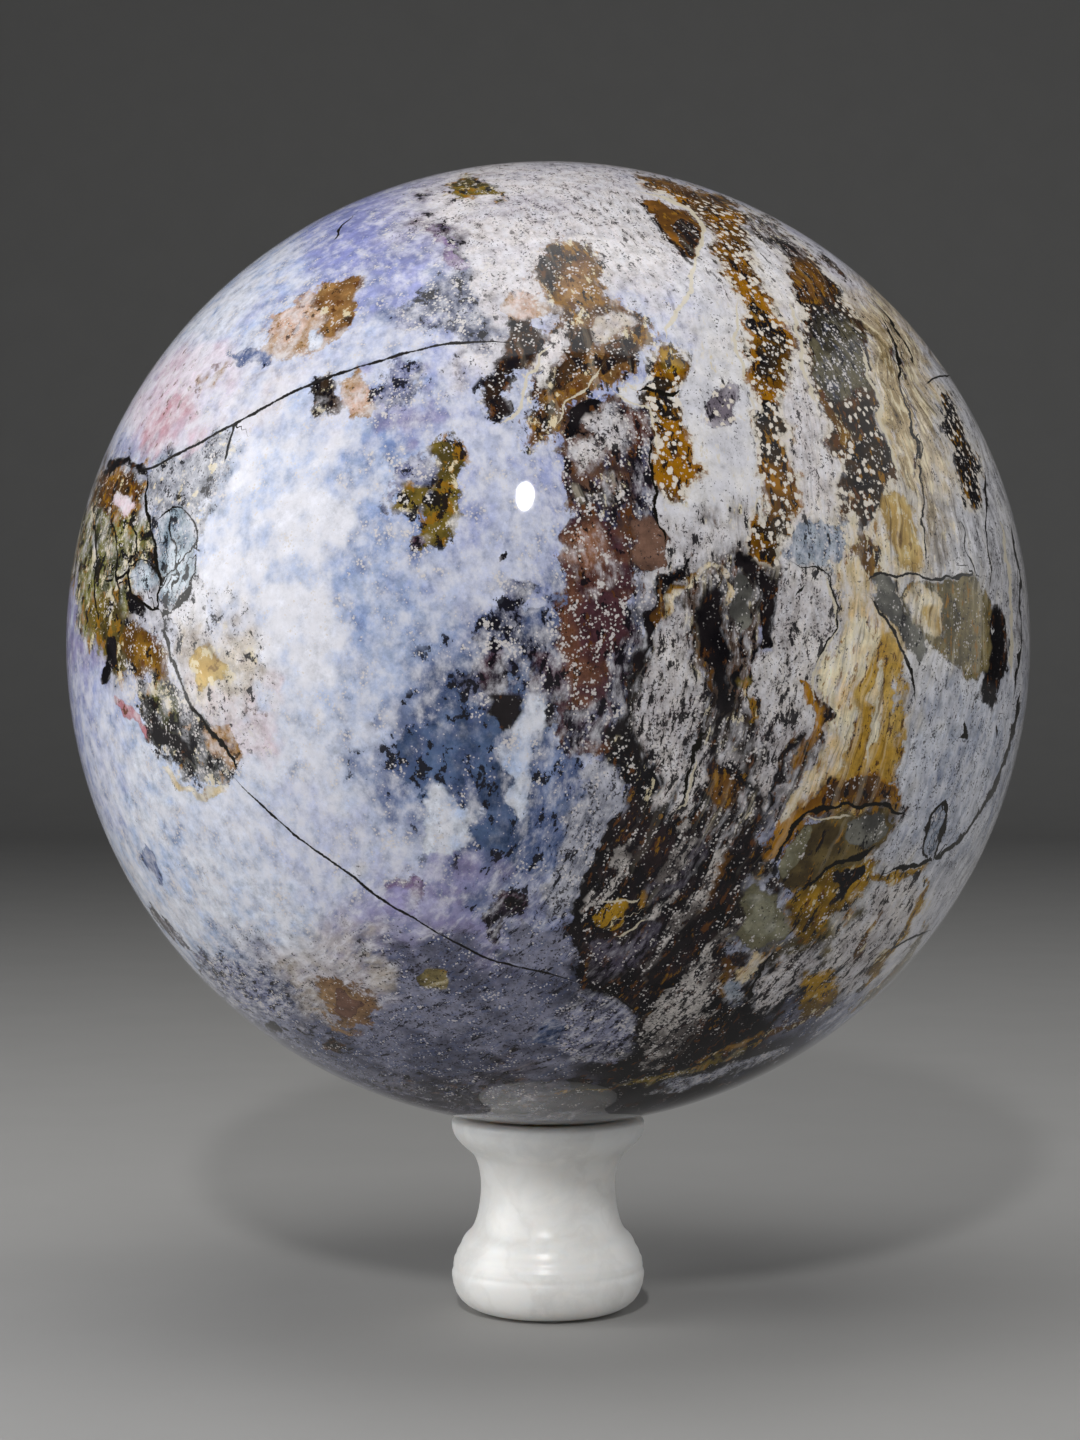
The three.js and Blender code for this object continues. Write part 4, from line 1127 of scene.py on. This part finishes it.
def stand_outline():
    """The turned outline from the underside to the dish's floor, as (radius, height) in millimetres."""
    foot_step = FOOT_RADIUS - FOOT_TOP_RADIUS
    ledge = FOOT_TOP_RADIUS - SHOULDER_TOP_RADIUS
    hollow = SHOULDER_TOP_RADIUS - NECK_RADIUS
    flare = RIM_COLLAR_RADIUS - NECK_RADIUS
    overhang = RIM_RADIUS - RIM_COLLAR_RADIUS
    roll = FOOT_TOP_HEIGHT - FOOT_SCORE_HEIGHT
    rise = SHOULDER_TOP_HEIGHT - FOOT_TOP_HEIGHT
    waist = NECK_HEIGHT - SHOULDER_TOP_HEIGHT
    collar_height = STAND_HEIGHT - RIM_DROP
    neck_rise = collar_height - NECK_HEIGHT
    score_height = STAND_HEIGHT - RIM_SCORE_DROP
    belly = score_height - collar_height
    reach = sphere_radius_millimetres() + SEAT_GAP
    band_inside = SEAT_RADIUS - SEAT_BAND_WIDTH
    centre_height = STAND_HEIGHT + math.sqrt(reach ** 2 - SEAT_RADIUS ** 2)
    band_height = centre_height - math.sqrt(reach ** 2 - band_inside ** 2)
    floor_height = STAND_HEIGHT - DISH_DEPTH
    outline = [(BASE_RADIUS, 0)]
    outline += curve_points(
        outline[-1], (BASE_RADIUS + 0.46 * (FOOT_RADIUS - BASE_RADIUS), 0),
        (FOOT_RADIUS, 0.2 * FOOT_WIDEST_HEIGHT), (FOOT_RADIUS, FOOT_WIDEST_HEIGHT))
    outline += curve_points(
        outline[-1], (FOOT_RADIUS, (FOOT_WIDEST_HEIGHT + FOOT_SCORE_HEIGHT) / 2),
        (FOOT_SCORE_RADIUS, FOOT_SCORE_HEIGHT))
    outline += curve_points(
        outline[-1], (FOOT_RADIUS - 0.1 * foot_step, FOOT_SCORE_HEIGHT + 0.24 * roll),
        (FOOT_RADIUS - 0.5 * foot_step, FOOT_TOP_HEIGHT - 0.38 * roll), (FOOT_TOP_RADIUS, FOOT_TOP_HEIGHT))
    outline += curve_points(
        outline[-1], (FOOT_TOP_RADIUS - 0.2 * ledge, FOOT_TOP_HEIGHT + 0.6 * rise),
        (SHOULDER_TOP_RADIUS, SHOULDER_TOP_HEIGHT))
    outline += curve_points(
        outline[-1], (NECK_RADIUS + 0.48 * hollow, SHOULDER_TOP_HEIGHT + 0.11 * waist),
        (NECK_RADIUS + 0.07 * hollow, SHOULDER_TOP_HEIGHT + 0.55 * waist), (NECK_RADIUS, NECK_HEIGHT))
    outline += curve_points(
        outline[-1], (NECK_RADIUS, NECK_HEIGHT + 0.5 * neck_rise),
        (NECK_RADIUS + 0.45 * flare, collar_height - 0.22 * neck_rise), (RIM_COLLAR_RADIUS, collar_height))
    outline += curve_points(
        outline[-1], (RIM_COLLAR_RADIUS + 0.22 * overhang, collar_height + 0.2 * belly),
        (RIM_RADIUS - 0.1 * overhang, collar_height + 0.6 * belly),
        (RIM_RADIUS - RIM_SCORE_DEPTH, score_height))
    outline += curve_points(
        outline[-1], (RIM_RADIUS, score_height + RIM_EDGE_ROUND / 2),
        (RIM_RADIUS, STAND_HEIGHT - RIM_EDGE_ROUND))
    outline += curve_points(
        outline[-1], (RIM_RADIUS - RIM_CORNER_INSET, STAND_HEIGHT),
        (SEAT_RADIUS + SEAT_SURROUND, STAND_HEIGHT))
    outline = [(radius - groove_depth(height), height) for radius, height in softened(outline)]
    outline += [(SEAT_RADIUS, STAND_HEIGHT), (band_inside, band_height)]
    outline += curve_points(outline[-1], (0.55 * band_inside, floor_height), (0, floor_height))
    return outline


def softened(outline):
    """An outline with its corners worn soft by the polishing, its two ends kept."""
    inner = [
        tuple(0.5 * here + 0.25 * (before + after) for before, here, after in zip(*trio))
        for trio in zip(outline, outline[1:], outline[2:])]
    return [outline[0], *inner, outline[-1]]


def groove_depth(height):
    """How deep the shallow grooves that part the foot's rolls are at a height, in millimetres."""
    return sum(GROOVE_DEPTH * math.exp(-((height - groove) / GROOVE_WIDTH) ** 2) for groove in GROOVES)


def sphere_radius_millimetres():
    low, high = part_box("sphere")
    return (high.x - low.x) / 2 / MILLIMETRE


def make_stand(material):
    """The stand: a ring of its underside drawn up and in and out along the outline, closed in the dish."""
    outline = stand_outline()
    begin()
    radius, height = outline[0]
    bpy.ops.mesh.primitive_circle_add(
        vertices=STAND_ROUND_STEPS, radius=radius * MILLIMETRE, fill_type="TRIFAN",
        location=(0, 0, height * MILLIMETRE))
    stand = bpy.context.object
    select_edges(stand, [v.co.length > radius * MILLIMETRE / 2 for v in stand.data.vertices])
    for next_radius, next_height in outline[1:-1]:
        rise = (next_height - height) * MILLIMETRE
        bpy.ops.mesh.extrude_edges_move(TRANSFORM_OT_translate={"value": (0, 0, rise)})
        share = next_radius / radius
        bpy.ops.transform.resize(value=(share, share, 1), center_override=(0, 0, next_height * MILLIMETRE))
        radius, height = next_radius, next_height
    rise = (outline[-1][1] - height) * MILLIMETRE
    bpy.ops.mesh.extrude_edges_move(TRANSFORM_OT_translate={"value": (0, 0, rise)})
    bpy.ops.mesh.merge(type="CENTER")
    bpy.ops.mesh.select_all(action="SELECT")
    bpy.ops.mesh.remove_doubles(threshold=0.01 * MILLIMETRE)
    bpy.ops.mesh.normals_make_consistent(inside=False)
    bpy.ops.object.mode_set(mode="OBJECT")
    settle(stand, "marble_stand", material, "stand")
    bpy.ops.object.shade_smooth_by_angle(angle=math.radians(35))
    return stand


# Materials
class Wire:
    """A node's output in a material. Arithmetic on wires adds Math nodes."""

    def __init__(self, finish, socket):
        self.finish = finish
        self.socket = socket

    def math(self, operation, *others):
        return self.finish.add("ShaderNodeMath", {"operation": operation}, dict(enumerate((self, *others))))

    def __add__(self, other):
        return self.math("ADD", other)

    def __sub__(self, other):
        return self.math("SUBTRACT", other)

    def __mul__(self, other):
        return self.math("MULTIPLY", other)

    def __neg__(self):
        return self * -1

    def __rsub__(self, other):
        return -self + other

    __radd__ = __add__
    __rmul__ = __mul__

    def most(self, other):
        return self.math("MAXIMUM", other)

    def least(self, other):
        return self.math("MINIMUM", other)

    def size(self):
        return self.math("ABSOLUTE")

    def rise(self, low, high):
        """0 at low and under, 1 at high and over, and smooth between."""
        return self.finish.add(
            "ShaderNodeMapRange", {"interpolation_type": "SMOOTHSTEP", "clamp": True},
            {"Value": self, "From Min": low, "From Max": high})


class Finish:
    """A material on one Principled shader, and the nodes that drive it."""

    def __init__(self, name, **uniform):
        self.material = bpy.data.materials.new(name)
        self.material.use_nodes = True
        self.tree = self.material.node_tree
        self.shader = self.tree.nodes["Principled BSDF"]
        for socket, value in uniform.items():
            self.shader.inputs[socket.replace("_", " ").title().replace("Ior", "IOR")].default_value = value

    def add(self, kind, settings=None, sockets=None, output=0):
        """A node of a kind, given its settings and its sockets' values or wires, as one of its outputs."""
        node = self.tree.nodes.new(kind)
        for name, value in (settings or {}).items():
            setattr(node, name, value)
        for name, value in (sockets or {}).items():
            self.connect(node.inputs[name], value)
        return Wire(self, node.outputs[output])

    def connect(self, target, value):
        if isinstance(value, Wire):
            self.tree.links.new(value.socket, target)
        else:
            target.default_value = value

    def drive(self, **wires):
        for name, wire in wires.items():
            self.connect(self.shader.inputs[name.replace("_", " ").title()], wire)

    def millimetres(self):
        """The object's own coordinates, in millimetres."""
        place = self.add("ShaderNodeTexCoord", output="Object")
        return self.vector("SCALE", place, Scale=1 / MILLIMETRE)

    def vector(self, operation, *inputs, **named):
        sockets = {**dict(enumerate(inputs)), **named}
        return self.add("ShaderNodeVectorMath", {"operation": operation}, sockets)

    def attribute(self, name):
        """Three numbers kept on the mesh, as a colour."""
        settings = {"attribute_name": name, "attribute_type": "GEOMETRY"}
        return self.add("ShaderNodeAttribute", settings, output="Color")

    def parts(self, vector):
        """The three numbers of a vector."""
        split = self.add("ShaderNodeSeparateXYZ", None, {0: vector})
        return [Wire(self, output) for output in split.socket.node.outputs]

    def noise(self, place, size, detail=4, roughness=0.55, shift=0, output=0):
        """Noise from 0 to 1 in lumps about size millimetres across. Its output 1 gives three numbers."""
        moved = self.vector("ADD", place, (shift, 2 * shift, -shift)) if shift else place
        return self.add(
            "ShaderNodeTexNoise", {"noise_dimensions": "3D"},
            {"Vector": moved, "Scale": 1 / size, "Detail": detail, "Roughness": roughness}, output)

    def spots(self, place, size):
        """How far it is to the nearest of scattered points, in units of size millimetres."""
        return self.add("ShaderNodeTexVoronoi", {"feature": "F1"}, {"Vector": place, "Scale": 1 / size})

    def laid(self, place, share, sideways, upward):
        """Places for noise that lies along the strata: a share of the place, moved on across them."""
        moved = self.add("ShaderNodeCombineXYZ", None, {0: sideways, 1: upward})
        return self.vector("MULTIPLY_ADD", place, (share, share, share), moved)

    def relief(self, height, depth, strength):
        """A normal that shows a height of 0 to 1 as relief of a depth in millimetres."""
        return self.add(
            "ShaderNodeBump", None, {"Strength": strength, "Distance": depth * MILLIMETRE, "Height": height})

    def blend(self, under, over, share):
        """A colour laid over another by a share."""
        return self.add(
            "ShaderNodeMix", {"data_type": "RGBA", "clamp_factor": True},
            {"Factor": share, 6: as_colour(under), 7: as_colour(over)}, output=2)

    def shade(self, colour, amount):
        """A colour made lighter or darker by an amount."""
        return self.vector("SCALE", colour, Scale=amount)

    def lightness(self, colour):
        return self.add("ShaderNodeRGBToBW", None, {0: colour})


def as_colour(value):
    return (*linear(value), 1) if isinstance(value, int) else value


def polished_jasper():
    """The sphere's stone, its figure read from the mesh and its grain made here, under a high polish."""
    finish = Finish("polished_jasper", ior=1.5, specular_ior_level=0.22, coat_ior=2.2, coat_roughness=0.03)
    place = finish.millimetres()
    black, rust, slate = finish.parts(finish.attribute("dark_flecks"))
    white, gold, cream = finish.parts(finish.attribute("light_flecks"))
    specks, frost, streaks = finish.parts(finish.attribute("grain"))
    dots, rim, across = finish.parts(finish.attribute("pattern"))
    depths = finish.parts(finish.attribute("depths"))

    # Noise that the figure is broken up with; the flecks lie along the strata where these run close together
    ragged = finish.noise(place, 4.5, 4, 0.68) - 0.5
    grain = finish.noise(place, 0.62, 3, 0.6) - 0.5
    mottle = finish.noise(place, 3.2, 5, 0.76, 150) - 0.5
    laid = finish.laid(place, 0.22, across * 0.3, across * 0.2)
    first, second, third = (lump - 0.5 for lump in finish.parts(finish.noise(laid, 1, 5, 0.66, output=1)))

    # The ground, then crisp bodies, ribbons and inlays
    colour = finish.attribute("ground")
    for number, broken in enumerate((6.0, 4.5, 5.0)):
        inside = depths[number] + ragged * broken + grain * 0.9
        body = finish.shade(finish.attribute(f"layer_{number}"), 0.78 + inside.rise(-0.2, 1.2) * 0.3)
        colour = finish.blend(colour, body, inside.rise(-0.25, 0.25))

    # Flecks of other minerals
    colour = finish.shade(colour, 1 + mottle * (0.9 + (specks + frost).least(0.7) * 2.2))
    flecks = (
        (slate, 0x4F5D86, second, 0.13, 0.7), (gold, 0x94691C, -second, 0.025, 0.9),
        (rust, 0x5F3A1C, third, 0.025, 0.9), (cream, 0xD9CCAC, -third, 0.02, 0.9),
        (white, 0xE6E5EC, -first, 0.17, 0.72), (black, 0x17151A, first, 0.018, 0.95))
    for amount, paint, lump, softness, strength in flecks:
        share = (lump + mottle * 0.25 + grain * 0.05 + amount * 0.26 - 0.13).rise(-softness, softness)
        colour = finish.blend(colour, paint, share * amount.rise(0, 0.08) * strength)

    # Streaks that follow the strata
    laid = finish.laid(place, 0.07, across + ragged * 0.3, across * 0.5)
    broad = finish.noise(laid, 3.0, 3, 0.65)
    thin = finish.noise(laid, 1.0, 2, 0.6, 60)
    colour = finish.shade(colour, 1 + streaks * ((broad - 0.5) * 1.5 + (thin - 0.5) * 1.2))
    colour = finish.blend(colour, 0xDDD3BC, broad.rise(0.55, 0.68) * streaks * 0.6)
    colour = finish.blend(colour, 0x4A3620, (1 - thin).rise(0.58, 0.68) * streaks * 0.6)

    # Fine grains, dark on light ground and light on dark
    dark_grain = (third * 0.8 - grain + specks * 0.16 - 0.21).rise(-0.02, 0.02) * specks.rise(0.02, 0.2)
    colour = finish.blend(colour, 0x262227, dark_grain * 0.85)
    crumbs = finish.spots(place, 0.8)
    light_grain = (frost * 0.3 + second * 2.4 + mottle * 0.8 + grain * 0.9 - 0.02 - crumbs).rise(-0.08, 0.08)
    colour = finish.blend(colour, 0xDAD4D2, light_grain * frost.rise(0.02, 0.2) * 0.85)

    # Orb bands: a pale rim, and round white dots
    edge = depths[0] + ragged * 6
    colour = finish.blend(colour, 0xDCD2C0, edge.rise(-0.9, -0.3) * (1 - edge.rise(0.0, 0.3)) * rim)
    dot = 1 - (finish.spots(place, 1.9) + grain * 0.5 + second * 1.5).rise(0.28, 0.38)
    colour = finish.blend(colour, 0xE0D7CB, dot * dots.rise(0.4, 0.6))

    # Veins and cracks, and the painted reflection at the right limb among the pale lines, each with its
    # colour, how much it wanders and its strength
    lines = {
        # The pale lines hold the pale veins and the painted reflection at the right limb
        "pale_veins_and_reflection": (0xD9CFB8, 1.0, 0.85),
        "dark_veins": (0x17140F, 1.0, 1.0),
        "cracks": (0x14110F, 0.12, 1.0)}
    for name, (paint, wander, strength) in lines.items():
        offset, half, _ = finish.parts(finish.attribute(name))
        away = (offset + ragged * 2.6 * wander + grain * 0.5).size() - half * (0.8 + mottle * 3)
        share = (1 - away.rise(-0.1, 0.1)) * half.rise(0, 0.05)
        colour = finish.blend(colour, paint, share * strength)
    bump = finish.relief(1 - share - dark_grain * 0.1, 0.15, 0.3)

    # The polish is glassiest underneath, where the stone is never handled
    x, y, z = finish.parts(place)
    from_axis = (x * x + y * y).math("SQRT")
    glassy = (1 - from_axis.rise(26, 36)) * (1 - z.rise(60, 80))
    polish = 0.05 + dark_grain * 0.05 + share * 0.3
    finish.drive(base_color=colour, roughness=polish, coat_weight=glassy, normal=bump)
    return finish.material


def polished_marble():
    """White marble with faint cloudy veins, a little light passing into it, under a soft polish."""
    finish = Finish(
        "polished_marble", ior=1.5, subsurface_weight=0.9, subsurface_radius=(0.009, 0.0082, 0.0075),
        subsurface_scale=1.0)
    place = finish.millimetres()
    bend = finish.noise(place, 14, 3, 0.5, output=1)
    bent = finish.vector("MULTIPLY_ADD", bend, (16, 16, 22), place)
    cloud = finish.noise(bent, 17, 6, 0.6)
    vein = (finish.noise(bent, 24, 5, 0.55, 30) - 0.5).size()
    crystals = finish.noise(place, 0.7, 2, 0.5, 80)
    colour = finish.blend(0xF4F3F0, 0xE2E1DF, cloud.rise(0.45, 0.7) * 0.7)
    colour = finish.blend(colour, 0xC9C6C2, (1 - vein.rise(0.0, 0.05)) * 0.14)
    colour = finish.blend(colour, 0xFAF9F6, crystals.rise(0.55, 0.75) * 0.25)
    polish = 0.31 + cloud.rise(0.4, 0.8) * 0.06
    bump = finish.relief(cloud + crystals * 0.2, 0.05, 0.12)
    finish.drive(base_color=colour, roughness=polish, normal=bump)
    return finish.material


def pale_paper():
    finish = Finish("pale_paper", roughness=0.8)
    mottle = finish.noise(finish.millimetres(), 60, 3)
    finish.drive(base_color=finish.blend(0xA2A19F, 0xA9A8A6, mottle))
    return finish.material


# The studio
FLOOR_HALF_WIDTH = 6.0
FLOOR_DEPTH = 3.0
BACKDROP_HEIGHT = 4.0
BACKDROP_BEND = 1.2
BACKDROP_BEND_STEPS = 16
ROOM_COLOUR = (0.6, 0.62, 0.65, 1)
ROOM_STRENGTH = 0.1

# Soft boxes: degrees round from the camera's side and up, distance, width and height in metres, and watts
SOFT_BOXES = {
    "left_box": (-65, 10, 0.95, 1.0, 0.92, 2.6),
    "left_box_middle": (-74, 10, 0.95, 0.7, 0.92, 2.3),
    "left_box_back": (-82, 10, 0.95, 0.44, 0.92, 1.7),
    "right_box": (88, 22, 2.6, 3.2, 2.4, 19),
    "top_box": (6, 84, 1.5, 1.3, 1.0, 10),
    "camera_lamp": (-5.6, 31, 1.6, 0.09, 0.17, 8.5, "ELLIPSE"),
}
SOFT_BOX_AIM = (0, 0, 0.16)

# The spot on the stand
SPOT_PLACE = (-0.5, -1.3, 0.12)
SPOT_AIM = (0, 0, 0.03)
SPOT_WATTS = 12
SPOT_DEGREES = 8
SPOT_RADIUS = 0.08


def make_floor():
    """A pale sheet that runs back along the floor and bends up behind."""
    begin()
    bpy.ops.mesh.primitive_plane_add(size=2, location=(0, 0, 0))
    floor = bpy.context.object
    bpy.ops.transform.resize(value=(FLOOR_HALF_WIDTH, FLOOR_DEPTH, 1))
    bpy.ops.object.transform_apply(location=True, rotation=True, scale=True)
    select_edges(floor, [v.co.y > 0 for v in floor.data.vertices])
    length = BACKDROP_BEND * math.pi / 2 / BACKDROP_BEND_STEPS
    for step in range(BACKDROP_BEND_STEPS):
        slope = (step + 0.5) / BACKDROP_BEND_STEPS * math.pi / 2
        move = (0, length * math.cos(slope), length * math.sin(slope))
        bpy.ops.mesh.extrude_edges_move(TRANSFORM_OT_translate={"value": move})
    bpy.ops.mesh.extrude_edges_move(TRANSFORM_OT_translate={"value": (0, 0, BACKDROP_HEIGHT)})
    bpy.ops.object.mode_set(mode="OBJECT")
    bpy.ops.object.shade_smooth()
    floor.name = "floor"
    floor.data.materials.append(pale_paper())


def add_soft_box(name, azimuth, elevation, distance, width, height, watts, shape="RECTANGLE"):
    """A soft box aimed at the sphere. Azimuth 0 is the camera's side, and plus is to its right."""
    turn, lift = math.radians(azimuth), math.radians(elevation)
    direction = Vector((math.sin(turn) * math.cos(lift), -math.cos(turn) * math.cos(lift), math.sin(lift)))
    light = bpy.data.lights.new(name, "AREA")
    light.shape = shape
    light.size = width
    light.size_y = height
    light.energy = watts
    box = bpy.data.objects.new(name, light)
    box.location = Vector(SOFT_BOX_AIM) + direction * distance
    box.rotation_euler = (-direction).to_track_quat("-Z", "Y").to_euler()
    bpy.context.scene.collection.objects.link(box)


def add_stand_spot():
    """A narrow spot from the left that lights the white stand and the floor beside it."""
    light = bpy.data.lights.new("stand_spot", "SPOT")
    light.energy = SPOT_WATTS
    light.spot_size = math.radians(SPOT_DEGREES)
    light.spot_blend = 1
    light.shadow_soft_size = SPOT_RADIUS
    spot = bpy.data.objects.new("stand_spot", light)
    spot.location = SPOT_PLACE
    spot.rotation_euler = (Vector(SPOT_AIM) - Vector(SPOT_PLACE)).to_track_quat("-Z", "Y").to_euler()
    spot.visible_glossy = False
    bpy.context.scene.collection.objects.link(spot)


def add_studio():
    """Plain soft studio light: the soft boxes, the spot on the stand and a little light from all round."""
    for name, setting in SOFT_BOXES.items():
        add_soft_box(name, *setting)
    add_stand_spot()
    world = bpy.data.worlds.new("studio")
    bpy.context.scene.world = world
    world.use_nodes = True
    background = world.node_tree.nodes["Background"]
    background.inputs["Color"].default_value = ROOM_COLOUR
    background.inputs["Strength"].default_value = ROOM_STRENGTH


def add_camera():
    """A level camera at the photograph's distance and height."""
    view = bpy.data.cameras.new("camera")
    view.sensor_fit = "VERTICAL"
    view.sensor_height = SENSOR_HEIGHT
    view.lens = FOCAL_LENGTH_PIXELS / PHOTO_HEIGHT * SENSOR_HEIGHT
    view.clip_end = 50
    camera = bpy.data.objects.new("camera", view)
    camera.location = EYE
    camera.rotation_euler = (math.pi / 2, 0, 0)
    bpy.context.scene.collection.objects.link(camera)
    bpy.context.scene.camera = camera


add_camera()
make_sphere(polished_jasper())
make_stand(polished_marble())
make_floor()
add_studio()
bpy.context.scene.view_settings.view_transform = "Standard"
